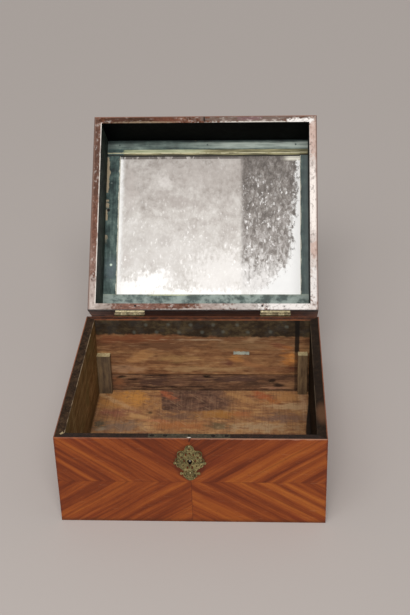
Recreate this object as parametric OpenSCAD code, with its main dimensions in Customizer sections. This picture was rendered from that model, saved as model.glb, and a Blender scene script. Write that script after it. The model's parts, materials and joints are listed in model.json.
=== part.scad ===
// Veneered wooden casket: a dovetailed box with a deep hinged lid and a looking glass inside the lid.
// +Z is up, +Y is to the back, and the origin is the centre of the base's underside.
// Every lid piece is drawn with the lid shut and then swung open about the hinge pins.

/* [Overall] */
// Width of the box over its side veneers
box_w = 330; // [280:1:400]
// Depth of the box from its front veneer to its back veneer
box_d = 295; // [250:1:360]
// Height of the base from the ground to its rim
base_h = 127; // [110:1:160]
// How far the lid leans back from shut, in degrees
open_angle = 132; // [95:1:150]
// Gap between the rims of the base and the shut lid
rim_gap = 0.4; // [0.2:0.1:0.8]

/* [Boards of the base] */
// Thickness of the front board, without its veneer
front_t = 8.8; // [8.4:0.1:12]
// Thickness of the back boards, without their veneer
back_t = 8.8; // [8.4:0.1:12]
// Thickness of the side boards, without their veneer
side_t = 11.3; // [8:0.1:15]
// Thickness of the floor boards
floor_t = 8.6; // [6:0.1:12]
// Width of the floor board at the back
floor_back_w = 62.3; // [40:0.1:90]
// Width of the floor board in the middle
floor_middle_w = 109; // [80:1:140]
// Shrinkage gap between two boards that lie edge to edge
board_gap = 0.4; // [0.2:0.1:0.8]

/* [Dovetails] */
// Height of the mitred shoulder at each rim corner
mitre_h = 8; // [5:0.5:12]
// Dovetails at each corner of the base
base_tails = 4; // [3:1:6]
// Dovetails at each corner of the lid
lid_tails = 3; // [2:1:4]
// Width of a dovetail at its root, as a share of the pitch
tail_root_share = 0.5; // [0.4:0.05:0.6]
// Flare of a dovetail on each side, as a share of its length
tail_flare_share = 0.16; // [0.1:0.01:0.2]

/* [Veneer] */
// Thickness of the sawn veneer
veneer_t = 1.2; // [0.8:0.1:1.6]
// Height of the level seam between the upper and lower front veneers
front_seam_h = 62; // [40:1:80]
// Height by which the side veneers stop short of the ground
veneer_lift = 0.4; // [0.3:0.1:1]

/* [Corner posts] */
// Depth of each post, front to back
post_d = 10; // [6:0.5:14]
// Width of the left post
left_post_w = 19; // [12:0.5:24]
// Height of the left post above the floor
left_post_h = 63.4; // [40:0.1:75]
// Width of the right post
right_post_w = 13.5; // [10:0.5:20]
// Height of the right post above the floor
right_post_h = 66.4; // [40:0.1:75]
// Space between the right post and the right side board
right_post_gap = 2.7; // [0.5:0.1:6]

/* [Lid] */
// Thickness of the lid's side boards, without their veneer
lid_side_t = 9.8; // [8:0.1:13]
// Thickness of the two boards of the lid's top
lid_top_t = 4.6; // [4.2:0.1:8]
// Width of the front one of the two top boards
lid_top_front_w = 158; // [130:1:180]

/* [Looking glass] */
// Depth of the glass's frame behind the lid's rim
frame_depth = 72.6; // [60:0.1:90]
// Thickness of the frame's rails and stiles
frame_t = 6; // [5.4:0.1:8]
// Width of the rail at the lid's front
front_rail_w = 25; // [18:0.5:34]
// Width of the rail at the lid's back
rear_rail_w = 31; // [20:0.5:38]
// Width of the left stile
left_stile_w = 20; // [16:0.5:28]
// Width of the right stile
right_stile_w = 12; // [11:0.5:24]
// Width of the pale bevel on the front rail
front_bevel_w = 10; // [6:0.5:12]
// Depth of the pale bevel on the front rail
front_bevel_t = 2.2; // [1:0.1:2.6]
// Width and depth of the small bevel on the rear rail and the stiles
sight_bevel = 1.5; // [0.8:0.1:2.4]
// Thickness of the glass
glass_t = 1.8; // [1.6:0.1:2.2]
// How far the frame laps over the edge of the glass
glass_lap = 5; // [3:0.5:5.5]
// Thickness of the packing sheet behind the glass
packing_t = 0.5; // [0.3:0.1:0.8]
// Diameter of the frame's nails
frame_nail_d = 1.4; // [1:0.1:1.8]
// Diameter of the heads of the frame's nails
frame_nail_head_d = 2.8; // [2.2:0.1:3.4]

/* [Hinges] */
// Distance of each hinge's middle from its side of the box
hinge_inset = 61; // [45:1:80]
// Width of a hinge
hinge_w = 42; // [30:1:56]
// Distance of the hinge pin behind the back of the box
hinge_out = 6; // [4.5:0.1:8]
// Diameter of the hinge pins
hinge_pin_d = 2.7; // [2:0.1:3.2]
// Thickness of the hinges' sheet brass
hinge_sheet_t = 1.2; // [0.8:0.1:1.4]
// Depth of a hinge leaf inside its saw kerf
leaf_depth = 8; // [6:0.1:8.6]
// Diameter of the nails through a hinge leaf
hinge_nail_d = 1.6; // [1.2:0.1:2]
// Distance of each nail from the middle of its hinge
hinge_nail_x = 13; // [8:0.5:15]

/* [Lock] */
// Sideways place of the lock, from the middle of the box
lock_x = -1; // [-6:0.5:6]
// Length of the lock's plate along the rim
selvage_w = 99; // [90:1:110]
// Thickness of the lock's plate on the rim
selvage_t = 1.8; // [1.2:0.1:2.4]
// Width of the lock's back plate
lock_plate_w = 62; // [60:1:70]
// Height of the lock's back plate below the rim
lock_plate_h = 46; // [45:1:52]
// Thickness of the lock's back plate
lock_plate_t = 1; // [0.8:0.1:1.4]
// Width of the lock's cap
cap_w = 48; // [48:0.5:50]
// Thickness of the cap's sheet
cap_t = 0.8; // [0.6:0.1:1]
// Depth of the room between the cap and the back plate
cap_room = 5.7; // [5.4:0.1:5.9]
// Thickness of the bolt
bolt_t = 1.8; // [1.4:0.1:2]
// Height of the bolt's head
bolt_head_h = 3.6; // [3:0.1:4]
// Travel of the bolt
bolt_travel = 5.5; // [4.5:0.1:6]
// Depth of the keyhole's round end below the rim
keyhole_drop = 33.5; // [32:0.5:35]
// Diameter of the pin that the key turns on
drill_pin_d = 2.4; // [1.8:0.1:2.8]
// Thickness of the lid's staple
staple_t = 1.6; // [1.2:0.1:2]
// Width of the lid's staple
staple_w = 4.6; // [4.4:0.1:4.8]
// Length of the staple that is driven into the lid
staple_root = 10; // [6:0.5:14]

/* [Escutcheon] */
// Width of the escutcheon
plate_w = 40; // [32:0.5:44]
// Height of the escutcheon
plate_h = 52; // [46:0.5:56]
// Thickness of the escutcheon
plate_t = 1.2; // [0.8:0.1:1.8]
// Diameter of the keyhole's round end
keyhole_d = 6.6; // [6:0.1:7]
// Length of the keyhole below its round end's middle
keyhole_l = 6.6; // [5.6:0.1:7]
// Width of the keyhole at its foot
keyhole_foot_w = 2.2; // [1.6:0.1:3]
// Diameter of the escutcheon's pins
plate_pin_d = 1.2; // [0.9:0.1:1.4]
// Diameter of the heads of the escutcheon's pins
plate_pin_head_d = 2.2; // [1.8:0.1:2.6]

/* [Hidden] */
$fn = 48;

// Overrun of every cut past the face that it opens
over = 1;
// Clearance round a nail, screw or pin in its hole
hole_clear = 0.05;
// Clearance round a part let into the wood or kept apart from its neighbour
seat_clear = 0.2;

// Outer sizes of the boards under the veneer
core_w = box_w - 2 * veneer_t;
core_d = box_d - 2 * veneer_t;
// Height of the walls of the base, above its floor boards
wall_h = base_h - floor_t;
// Inner faces of the base
inner_x = core_w / 2 - side_t;
inner_front_y = -core_d / 2 + front_t;
inner_back_y = core_d / 2 - back_t;
// Height of the seam between the two back boards, one dovetail's pitch up
back_seam_h = (wall_h - mitre_h) / base_tails;

// The lid, drawn shut: its rim, the tops of its walls and its outer top
lid_rim_z = base_h + rim_gap;
lid_wall_h = frame_depth + frame_t;
lid_top_z = lid_rim_z + lid_wall_h;
lid_inner_x = core_w / 2 - lid_side_t;

// The hinge line, midway between the two rims, and the places of the hinges along it
hinge_x = box_w / 2 - hinge_inset;
pin_y = box_d / 2 + hinge_out;
pin_z = base_h + rim_gap / 2;
eye_r = hinge_pin_d / 2 + hole_clear;
knuckle_r = eye_r + hinge_sheet_t;
knuckle_gap = 0.2;
// Knuckles of a hinge: the base has the odd ones and the lid the even ones
knuckles = 5;
knuckle_w = (hinge_w - (knuckles - 1) * knuckle_gap) / knuckles;
// The other leaf's knuckles turn in notches that start this far from the pin
notch_r = 1.25 * knuckle_r;
pin_head_r = knuckle_r - knuckle_gap;
pin_head_t = hinge_sheet_t / 2;
hinge_nail_in = leaf_depth * 0.75;
hinge_nail_l = leaf_depth;

// The opening of the looking glass, with the lid shut
glass_left = -lid_inner_x + left_stile_w;
glass_right = lid_inner_x - right_stile_w;
glass_front = inner_front_y + front_rail_w;
glass_back = inner_back_y - rear_rail_w;
frame_z = lid_rim_z + frame_depth;
pocket_t = glass_t + packing_t;
// Clear end of the front rail's bevel, past the left stile
bevel_stop = front_bevel_w / 2;
frame_nail_head_t = 0.3 * frame_nail_head_d / 2;
frame_nail_l = frame_t + lid_top_t / 2;
// Places of the frame's nails along the rails and the stiles, as shares of their length
rail_nail_shares = [0.06, 0.5, 0.94];
stile_nail_shares = [0.2, 0.72];

// The lock, measured from the inner face of the front board
cap_short = 2;
cap_h = lock_plate_h - cap_short;
cap_y = inner_front_y - lock_plate_t - cap_room;
bolt_y = inner_front_y - lock_plate_t - cap_room / 2 - bolt_t / 2;
lock_mid_y = bolt_y + bolt_t / 2;
keyhole_z = base_h - keyhole_drop;
screw_head_r = 2.6;
screw_r = 1.3;
screw_l = 6;
// Places of the rim screws on each side of the lock's middle, as shares of the rim plate's length
rim_screw_shares = [0.293, 0.455];

// The staple's eye and the bolt's head that passes through it
eye_clear = 0.3;
staple_gap = 0.5;
bolt_top_z = base_h - selvage_t - bolt_head_h * 0.28;
bolt_head_z = bolt_top_z - bolt_head_h;
staple_eye_w = bolt_t + 2 * hole_clear + eye_clear;

// The bolt's plate, measured from the lock's middle and from the keyhole
bolt_l = 31;
bolt_left = -11;
bolt_body_h = 11.5;
bolt_arm_left = 7;
bolt_arm_right = 14;
// The talon that the key's bit enters by a little over half its height
talon_w = 6;
talon_h = 3.2;
bolt_foot_z = keyhole_z + keyhole_l - talon_h * 0.6;
// Places of the studs along the bolt, as shares of its length from its left end
stud_shares = [0.16, 0.68];
stud_xs = [for (k = stud_shares) bolt_left + k * bolt_l];
stud_r = 1.4;
stud_flange_r = 2.5;
stud_head_t = 0.6;
stud_z = bolt_foot_z + bolt_body_h * 0.65;
spring_t = 0.5;
spring_w = 2.4;
spring_foot_w = 3;
spring_left = -cap_w / 2 + cap_t + seat_clear;
spring_z = bolt_foot_z + bolt_body_h + hole_clear;

// The escutcheon's lobes, each as shares [across, up, radius] of the plate's width, height and width
lobe_shares = [[0.27, 0.215, 0.11], [0.36, 0.03, 0.09], [0.455, -0.048, 0.045],
    [0.34, -0.115, 0.065], [0.265, -0.345, 0.045], [0.155, -0.405, 0.055]];
middle_lobe_shares = [[0, 0.355, 0.1375], [0, -0.405, 0.172]];
// Half of the escutcheon's body between its lobes, as shares of its width and height
body_shares = [[0.1, 0.38], [0.17, 0.31], [0.29, 0.285], [0.375, 0.18], [0.38, 0.1], [0.44, 0],
    [0.42, -0.1], [0.3, -0.185], [0.2, -0.26], [0.18, -0.3], [0.24, -0.335], [0.2, -0.4], [0.1, -0.48]];
// Its round piercings, as shares like the lobes
hole_shares = [[0.245, 0.115, 0.036], [0.2, -0.12, 0.028], [0.12, -0.295, 0.03], [0.08, -0.435, 0.026]];
// Its long piercings: place, half width and half height between the round ends, as shares
long_hole_shares = [[0.0725, -0.172, 0.028, 0.022], [0.17, 0.025, 0.022, 0.032],
    [0.115, 0.195, 0.022, 0.026]];
// The crescents that follow its lobes: place, both radii, and the shift of the inner one, as shares
crescent_shares = [[0.27, 0.215, 0.075, 0.062, -0.026, -0.016], [0.36, 0.03, 0.058, 0.046, -0.022, 0],
    [0.34, -0.115, 0.04, 0.03, -0.014, 0.012], [0.145, -0.38, 0.042, 0.032, -0.014, 0.01]];
// Its round piercings on the middle line, as shares
middle_hole_shares = [[0, 0.355, 0.034], [0, 0.235, 0.032], [0, -0.415, 0.028]];
// Places of its pins, as shares
plate_pin_shares = [[0, 0.43], [0.43, -0.045], [-0.43, -0.045], [0, -0.33]];
plate_pin_l = plate_t + veneer_t * 2;

// A box between two opposite corners
module block(low, high) {
    translate(low) cube(high - low);
}

// An outline in Y and Z, drawn out along X from x
module along_x(x, length) {
    translate([x, 0, 0]) rotate([90, 0, 90]) linear_extrude(length) children();
}

// An outline in X and Z, drawn out along Y from y
module along_y(y, length) {
    translate([0, y + length, 0]) rotate([90, 0, 0]) linear_extrude(length) children();
}

// The lid's pieces, swung open about the pins
module opened() {
    translate([0, pin_y, pin_z]) rotate([-open_angle, 0, 0]) translate([0, -pin_y, -pin_z]) children();
}

// The lid's walls are drawn rim up like those of the base, and then turned over
module turned_over() {
    translate([0, 0, lid_top_z]) mirror([0, 0, 1]) children();
}

// Dovetails of one corner: roots at y = 0, tips at y = -t, one under another below the mitre.
// Their roots run on past y = 0, into the board that they belong to
module tails(t, thickness, height, count) {
    pitch = (height - mitre_h) / count;
    root = pitch * tail_root_share / 2;
    tip = root + t * tail_flare_share;
    for (k = [0 : count - 1])
        translate([0, 0, (k + 0.5) * pitch])
            along_x(0, thickness)
                polygon([[over, -root], [0, -root], [-t, -tip], [-t, tip], [0, root], [over, root]]);
}

// All the dovetails that pass through the front (or back) wall, at both ends of that wall
module wall_tails(t, side_thickness, height, count) {
    for (s = [0, 1])
        mirror([s, 0, 0])
            translate([-core_w / 2, t, 0])
                tails(t, side_thickness, height, count);
}

// A front or back wall: outer face at y = 0, rim at the top, sockets for the dovetails, mitred shoulders
module end_wall(t, side_thickness, height, count) {
    difference() {
        translate([-core_w / 2, 0, 0]) cube([core_w, t, height - mitre_h]);
        wall_tails(t, side_thickness, height, count);
    }
    translate([0, 0, height - mitre_h])
        linear_extrude(mitre_h)
            polygon([[-core_w / 2, 0], [core_w / 2, 0],
                [core_w / 2 - side_thickness, t], [-core_w / 2 + side_thickness, t]]);
}

// A left wall with its dovetails at both ends and its mitred shoulders
module side_wall(side_thickness, height, count) {
    inside = core_d - front_t - back_t;
    translate([-core_w / 2, inner_front_y, 0]) cube([side_thickness, inside, height]);
    translate([-core_w / 2, inner_front_y, 0]) tails(front_t, side_thickness, height, count);
    translate([-core_w / 2, inner_back_y, 0])
        mirror([0, 1, 0]) tails(back_t, side_thickness, height, count);
    translate([0, 0, height - mitre_h])
        linear_extrude(mitre_h)
            polygon([[-core_w / 2, -core_d / 2], [-core_w / 2 + side_thickness, inner_front_y],
                [-core_w / 2 + side_thickness, inner_back_y], [-core_w / 2, core_d / 2]]);
}

module base_front_wall() {
    translate([0, -core_d / 2, floor_t]) end_wall(front_t, side_t, wall_h, base_tails);
}

module base_back_wall() {
    translate([0, core_d / 2, floor_t]) mirror([0, 1, 0]) end_wall(back_t, side_t, wall_h, base_tails);
}

// The keyhole, round above and tapering to its foot, grown all round by extra
module keyhole(extra) {
    translate([lock_x, keyhole_z]) {
        circle(d = keyhole_d + 2 * extra);
        polygon([[-keyhole_d * 0.36 - extra, 0], [keyhole_d * 0.36 + extra, 0],
            [keyhole_foot_w / 2 + extra, -keyhole_l - extra],
            [-keyhole_foot_w / 2 - extra, -keyhole_l - extra]]);
    }
}

// The keyhole as a cut along Y, between two depths
module keyhole_cut(y0, y1, extra) {
    along_y(y0, y1 - y0) keyhole(extra);
}

// Places of the screws: four down through the rim plate, four through the back plate from inside
module at_rim_screws() {
    for (s = [-1, 1], k = rim_screw_shares)
        translate([lock_x + s * k * selvage_w, lock_mid_y, base_h]) children();
}

module at_plate_screws() {
    for (s = [-1, 1], z = [base_h - 2 * screw_l, base_h - lock_plate_h + screw_l])
        translate([lock_x + s * (lock_plate_w / 2 - screw_head_r - seat_clear), inner_front_y, z])
            rotate([-90, 0, 0]) children();
}

// A countersunk screw pointing down from z = 0, grown by extra, with its slot where slotted
module screw(extra, slotted) {
    head_h = screw_head_r - screw_r;
    slot_w = screw_r / 2;
    difference() {
        union() {
            translate([0, 0, -head_h])
                cylinder(r1 = screw_r + extra, r2 = screw_head_r + extra, h = head_h);
            translate([0, 0, -screw_l - extra])
                cylinder(r = screw_r + extra, h = screw_l + extra - head_h / 2);
        }
        if (slotted)
            translate([-screw_head_r - over, -slot_w / 2, -slot_w])
                cube([2 * (screw_head_r + over), slot_w, slot_w + over]);
    }
}

// Holes for the screws
module screw_holes() {
    at_rim_screws() screw(hole_clear, false);
    at_plate_screws() screw(hole_clear, false);
}

// Room in the front board for the lock
module lock_mortise() {
    block([lock_x - selvage_w / 2, -core_d / 2 - over, base_h - selvage_t],
        [lock_x + selvage_w / 2, inner_front_y + over, base_h + over]);
    block([lock_x - lock_plate_w / 2, inner_front_y - lock_plate_t, base_h - lock_plate_h],
        [lock_x + lock_plate_w / 2, inner_front_y + over, base_h]);
    block([lock_x - cap_w / 2 - seat_clear, cap_y - cap_t, base_h - cap_h - seat_clear],
        [lock_x + cap_w / 2 + seat_clear, inner_front_y, base_h]);
    keyhole_cut(-core_d / 2 - over, cap_y, seat_clear);
}

// Places of the escutcheon's pins, on the front of the box, with the pins' own up as -Y
module at_plate_pins() {
    for (p = plate_pin_shares)
        translate([lock_x + p[0] * plate_w, -box_d / 2 - plate_t, keyhole_z + p[1] * plate_h])
            rotate([90, 0, 0]) children();
}

module plate_pin_holes() {
    at_plate_pins() translate([0, 0, -plate_pin_l - hole_clear])
        cylinder(d = plate_pin_d + 2 * hole_clear, h = plate_pin_l + over);
}

module front_board() {
    color("saddlebrown")
        difference() {
            base_front_wall();
            lock_mortise();
            screw_holes();
            plate_pin_holes();
        }
}

module left_board() {
    color("saddlebrown") translate([0, 0, floor_t]) side_wall(side_t, wall_h, base_tails);
}

module right_board() {
    color("saddlebrown") mirror([1, 0, 0]) translate([0, 0, floor_t]) side_wall(side_t, wall_h, base_tails);
}

module back_board_lower() {
    color("sienna")
        intersection() {
            base_back_wall();
            block([-core_w / 2, inner_back_y, floor_t],
                [core_w / 2, core_d / 2, floor_t + back_seam_h - board_gap]);
        }
}

module back_board_upper() {
    color("sienna")
        difference() {
            intersection() {
                base_back_wall();
                block([-core_w / 2, inner_back_y, floor_t + back_seam_h], [core_w / 2, core_d / 2, base_h]);
            }
            leaf_kerfs();
        }
}

// A floor board between two depths
module floor_board(y0, y1) {
    color("peru") block([-core_w / 2, y0, 0], [core_w / 2, y1, floor_t]);
}

module floor_board_front() {
    floor_board(-core_d / 2, core_d / 2 - floor_back_w - floor_middle_w - board_gap);
}

module floor_board_middle() {
    floor_board(core_d / 2 - floor_back_w - floor_middle_w, core_d / 2 - floor_back_w - board_gap);
}

module floor_board_back() {
    floor_board(core_d / 2 - floor_back_w, core_d / 2);
}

// A corner post on the floor against the back boards, between two places across the box
module post(x0, x1, height) {
    color("burlywood") block([x0, inner_back_y - post_d, floor_t], [x1, inner_back_y, floor_t + height]);
}

module left_post() {
    post(-inner_x, -inner_x + left_post_w, left_post_h);
}

module right_post() {
    post(inner_x - right_post_gap - right_post_w, inner_x - right_post_gap, right_post_h);
}

// One quarter of the front veneer
module front_quarter(x0, x1, z0, z1) {
    color("chocolate")
        difference() {
            block([x0, -box_d / 2, z0], [x1, -core_d / 2, z1]);
            keyhole_cut(-box_d / 2 - over, cap_y, seat_clear);
            plate_pin_holes();
        }
}

module front_veneer_upper_left() {
    front_quarter(-box_w / 2, 0, front_seam_h, base_h);
}

module front_veneer_upper_right() {
    front_quarter(0, box_w / 2, front_seam_h, base_h);
}

module front_veneer_lower_left() {
    front_quarter(-box_w / 2, 0, veneer_lift, front_seam_h);
}

module front_veneer_lower_right() {
    front_quarter(0, box_w / 2, veneer_lift, front_seam_h);
}

// A left side veneer between two heights
module side_skin(z0, z1) {
    color("sienna") block([-box_w / 2, -core_d / 2, z0], [-core_w / 2, core_d / 2, z1]);
}

module left_veneer() {
    side_skin(veneer_lift, base_h);
}

module right_veneer() {
    mirror([1, 0, 0]) side_skin(veneer_lift, base_h);
}

// A back veneer between two heights
module back_skin(z0, z1) {
    color("sienna") block([-box_w / 2, core_d / 2, z0], [box_w / 2, box_d / 2, z1]);
}

module back_veneer() {
    difference() {
        back_skin(veneer_lift, base_h);
        leaf_kerfs();
    }
}

// A round part of the escutcheon, or a hole in it, from shares of its width and height
module plate_circle(x_share, z_share, r_share) {
    translate([x_share * plate_w, z_share * plate_h]) circle(r = r_share * plate_w);
}

// A crescent that follows a lobe's edge: a disc less a smaller disc that is shifted inwards
module plate_crescent(s) {
    difference() {
        plate_circle(s[0], s[1], s[2]);
        plate_circle(s[0] + s[4], s[1] + s[5], s[3]);
    }
}

// A long piercing with round ends, standing upright
module plate_slot(s) {
    reach = s[3] * plate_h;
    plate_circle(s[0], s[1] + s[3], s[2]);
    plate_circle(s[0], s[1] - s[3], s[2]);
    translate([s[0] * plate_w, s[1] * plate_h]) square([2 * s[2] * plate_w, 2 * reach], center = true);
}

// Half of the piercings, mirrored to make them all
module plate_half_piercings() {
    for (s = hole_shares) plate_circle(s[0], s[1], s[2]);
    for (s = long_hole_shares) plate_slot(s);
    for (s = crescent_shares) plate_crescent(s);
}

// The body between the lobes: the half outline going down on the right and coming up on the left
module plate_body() {
    down = [for (p = body_shares) [p[0] * plate_w, p[1] * plate_h]];
    count = len(down);
    polygon(concat(down, [for (k = [1 : count]) [-down[count - k][0], down[count - k][1]]]));
}

module escutcheon() {
    color("darkgoldenrod")
        difference() {
            translate([lock_x, 0, keyhole_z]) {
                along_y(-box_d / 2 - plate_t, plate_t) plate_body();
                for (s = middle_lobe_shares)
                    along_y(-box_d / 2 - plate_t, plate_t) plate_circle(s[0], s[1], s[2]);
                for (m = [-1, 1], s = lobe_shares)
                    along_y(-box_d / 2 - plate_t, plate_t) plate_circle(m * s[0], s[1], s[2]);
            }
            along_y(-box_d / 2 - plate_t - over, plate_t + 2 * over)
                translate([lock_x, keyhole_z]) {
                    for (m = [0, 1]) mirror([m, 0]) plate_half_piercings();
                    for (s = middle_hole_shares) plate_circle(s[0], s[1], s[2]);
                }
            keyhole_cut(-box_d / 2 - plate_t - over, -box_d / 2 + over, 0);
            plate_pin_holes();
        }
}

module escutcheon_pins() {
    color("gold")
        at_plate_pins() {
            translate([0, 0, -plate_pin_l]) cylinder(d = plate_pin_d, h = plate_pin_l);
            intersection() {
                translate([0, 0, -plate_pin_head_d / 4]) sphere(d = plate_pin_head_d * 1.12);
                cylinder(d = plate_pin_head_d, h = plate_pin_head_d / 2);
            }
        }
}

// The lock's plate: the strip let into the rim, bent down into the back plate, with the staple's slot
module lock_plate() {
    slot_half_w = staple_t / 2 + staple_gap;
    slot_half_d = staple_w / 2 + staple_gap;
    color("dimgray")
        difference() {
            union() {
                block([lock_x - selvage_w / 2, -core_d / 2, base_h - selvage_t],
                    [lock_x + selvage_w / 2, inner_front_y, base_h]);
                block([lock_x - lock_plate_w / 2, inner_front_y - lock_plate_t, base_h - lock_plate_h],
                    [lock_x + lock_plate_w / 2, inner_front_y, base_h]);
            }
            block([lock_x - slot_half_w, lock_mid_y - slot_half_d, base_h - selvage_t - over],
                [lock_x + slot_half_w, lock_mid_y + slot_half_d, base_h + over]);
            screw_holes();
        }
}

// The cap: a tray, open towards the rim plate, that closes the lock on the side of the keyhole
module lock_cap() {
    color("gray")
        difference() {
            block([lock_x - cap_w / 2, cap_y - cap_t, base_h - cap_h],
                [lock_x + cap_w / 2, inner_front_y - lock_plate_t, base_h - selvage_t]);
            block([lock_x - cap_w / 2 + cap_t, cap_y, base_h - cap_h + cap_t],
                [lock_x + cap_w / 2 - cap_t, inner_front_y, base_h]);
            keyhole_cut(cap_y - cap_t - over, cap_y + over, 0);
        }
}

// The bolt's plate, drawn back: its head beside the staple, its slots on the studs, its talon for the key
module lock_bolt() {
    head_left = staple_t / 2 + staple_gap + eye_clear;
    arm_w = bolt_arm_right - bolt_arm_left;
    color("silver")
        along_y(bolt_y, bolt_t)
            translate([lock_x, 0])
                difference() {
                    union() {
                        translate([head_left, bolt_head_z])
                            square([bolt_arm_right - head_left, bolt_head_h]);
                        translate([bolt_arm_left, bolt_foot_z])
                            square([arm_w, bolt_top_z - bolt_foot_z]);
                        translate([bolt_left, bolt_foot_z])
                            square([bolt_l, bolt_body_h]);
                    }
                    translate([bolt_travel / 2 - talon_w / 2, bolt_foot_z - over])
                        square([talon_w, talon_h + over]);
                    for (x = stud_xs) {
                        translate([x, stud_z]) circle(r = stud_r + hole_clear);
                        translate([x + bolt_travel, stud_z]) circle(r = stud_r + hole_clear);
                        translate([x, stud_z - stud_r - hole_clear])
                            square([bolt_travel, 2 * (stud_r + hole_clear)]);
                    }
                }
}

// Two shouldered studs on the back plate that carry the bolt
module bolt_studs() {
    plate_y = inner_front_y - lock_plate_t;
    shoulder = plate_y - bolt_y - bolt_t - hole_clear;
    color("gray")
        for (x = stud_xs)
            translate([lock_x + x, plate_y, stud_z])
                rotate([90, 0, 0]) {
                    cylinder(r = stud_flange_r, h = shoulder);
                    cylinder(r = stud_r, h = shoulder + bolt_t + 2 * hole_clear + stud_head_t);
                    translate([0, 0, shoulder + bolt_t + 2 * hole_clear])
                        cylinder(r = stud_flange_r, h = stud_head_t);
                }
}

// A leaf spring that bears on the bolt's top edge from a foot on the back plate
module bolt_spring() {
    foot_h = 4 * spring_t + spring_w;
    reach = stud_xs[0] - spring_left + spring_foot_w;
    color("slategray") {
        block([lock_x + spring_left, bolt_y, spring_z],
            [lock_x + spring_left + spring_foot_w, inner_front_y - lock_plate_t, spring_z + foot_h]);
        along_y(bolt_y, spring_w)
            translate([lock_x + spring_left + spring_foot_w / 2, spring_z])
                polygon([[0, foot_h], [reach * 0.8, 2 * spring_t], [reach, 0],
                    [reach * 1.1, 2 * spring_t], [reach * 1.1 - spring_t, 3 * spring_t],
                    [reach, 2 * spring_t], [reach * 0.8, 4 * spring_t], [0, foot_h + 2 * spring_t]]);
    }
}

module drill_pin() {
    color("silver")
        translate([lock_x, inner_front_y - lock_plate_t, keyhole_z])
            rotate([90, 0, 0])
                cylinder(d = drill_pin_d, h = front_t - lock_plate_t + veneer_t / 2);
}

module lock_screws() {
    color("darkgray") {
        at_rim_screws() screw(0, true);
        at_plate_screws() screw(0, true);
    }
}

// Places of the two hinges
module at_hinges() {
    for (s = [-1, 1]) translate([s * hinge_x, pin_y, pin_z]) children();
}

// A leaf of a hinge round the pin's middle, as the base has it: a sheet that lies below the pin and
// rolls up round it, with knuckles at the places in which
module leaf(which) {
    plate_z = -knuckle_r;
    reach = hinge_out + leaf_depth;
    difference() {
        union() {
            block([-hinge_w / 2, -reach, plate_z], [hinge_w / 2, -notch_r, plate_z + hinge_sheet_t]);
            for (k = which)
                translate([-hinge_w / 2 + k * (knuckle_w + knuckle_gap), 0, 0]) {
                    block([0, -notch_r, plate_z], [knuckle_w, 0, plate_z + hinge_sheet_t]);
                    along_x(0, knuckle_w) circle(r = knuckle_r);
                }
        }
        along_x(-hinge_w, 2 * hinge_w) circle(r = eye_r);
        at_leaf_nails() cylinder(d = hinge_nail_d + 2 * hole_clear, h = 4 * knuckle_r, center = true);
    }
}

// Places of the nails of one leaf, measured like the leaf
module at_leaf_nails() {
    for (s = [-1, 1]) translate([s * hinge_nail_x, -hinge_out - hinge_nail_in, 0]) children();
}

// Nails of one leaf: driven from the rim through the lip of wood and the leaf
module leaf_nails(extra) {
    at_leaf_nails()
        translate([0, 0, -rim_gap / 2 - hinge_nail_l - extra])
            cylinder(d = hinge_nail_d + 2 * extra, h = hinge_nail_l + extra + (extra > 0 ? over : 0));
}

// Saw kerfs and nail holes that both leaves of the base need in the wood
module leaf_kerfs() {
    at_hinges() {
        block([-hinge_w / 2 - seat_clear, -hinge_out - leaf_depth - seat_clear, -knuckle_r],
            [hinge_w / 2 + seat_clear, 0, -knuckle_r + hinge_sheet_t]);
        leaf_nails(hole_clear);
    }
}

// The lid has the same kerfs above the pins
module above_pins() {
    translate([0, 0, 2 * pin_z]) mirror([0, 0, 1]) children();
}

module base_leaf_left() {
    color("goldenrod") translate([-hinge_x, pin_y, pin_z]) leaf([0, 2, 4]);
}

module base_leaf_right() {
    color("goldenrod") translate([hinge_x, pin_y, pin_z]) leaf([0, 2, 4]);
}

module lid_leaf_left() {
    color("goldenrod") opened() above_pins() translate([-hinge_x, pin_y, pin_z]) leaf([1, 3]);
}

module lid_leaf_right() {
    color("goldenrod") opened() above_pins() translate([hinge_x, pin_y, pin_z]) leaf([1, 3]);
}

module hinge_pins() {
    color("darkgoldenrod")
        at_hinges() {
            along_x(-hinge_w / 2 - hole_clear, hinge_w + 2 * hole_clear) circle(d = hinge_pin_d);
            for (x = [-hinge_w / 2 - hole_clear - pin_head_t, hinge_w / 2 + hole_clear])
                along_x(x, pin_head_t) circle(r = pin_head_r);
        }
}

module base_hinge_nails() {
    color("dimgray") at_hinges() leaf_nails(0);
}

module lid_hinge_nails() {
    color("dimgray") opened() above_pins() at_hinges() leaf_nails(0);
}

module lid_front_board() {
    color("saddlebrown")
        opened()
            difference() {
                turned_over()
                    translate([0, -core_d / 2, 0]) end_wall(front_t, lid_side_t, lid_wall_h, lid_tails);
                block([lock_x - staple_t / 2, lock_mid_y - staple_w / 2, lid_rim_z - over],
                    [lock_x + staple_t / 2, lock_mid_y + staple_w / 2, lid_rim_z + staple_root]);
            }
}

module lid_back_board() {
    color("saddlebrown")
        opened()
            difference() {
                turned_over()
                    translate([0, core_d / 2, 0])
                        mirror([0, 1, 0]) end_wall(back_t, lid_side_t, lid_wall_h, lid_tails);
                above_pins() leaf_kerfs();
            }
}

module lid_left_board() {
    color("saddlebrown") opened() turned_over() side_wall(lid_side_t, lid_wall_h, lid_tails);
}

module lid_right_board() {
    color("saddlebrown")
        opened() mirror([1, 0, 0]) turned_over() side_wall(lid_side_t, lid_wall_h, lid_tails);
}

// A top board of the lid between two depths, holed for the frame's nails
module lid_top_board(y0, y1) {
    color("peru")
        opened()
            difference() {
                block([-core_w / 2, y0, lid_top_z], [core_w / 2, y1, lid_top_z + lid_top_t]);
                frame_nail_shanks(hole_clear);
            }
}

module lid_top_board_front() {
    lid_top_board(-core_d / 2, -core_d / 2 + lid_top_front_w - board_gap);
}

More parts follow.
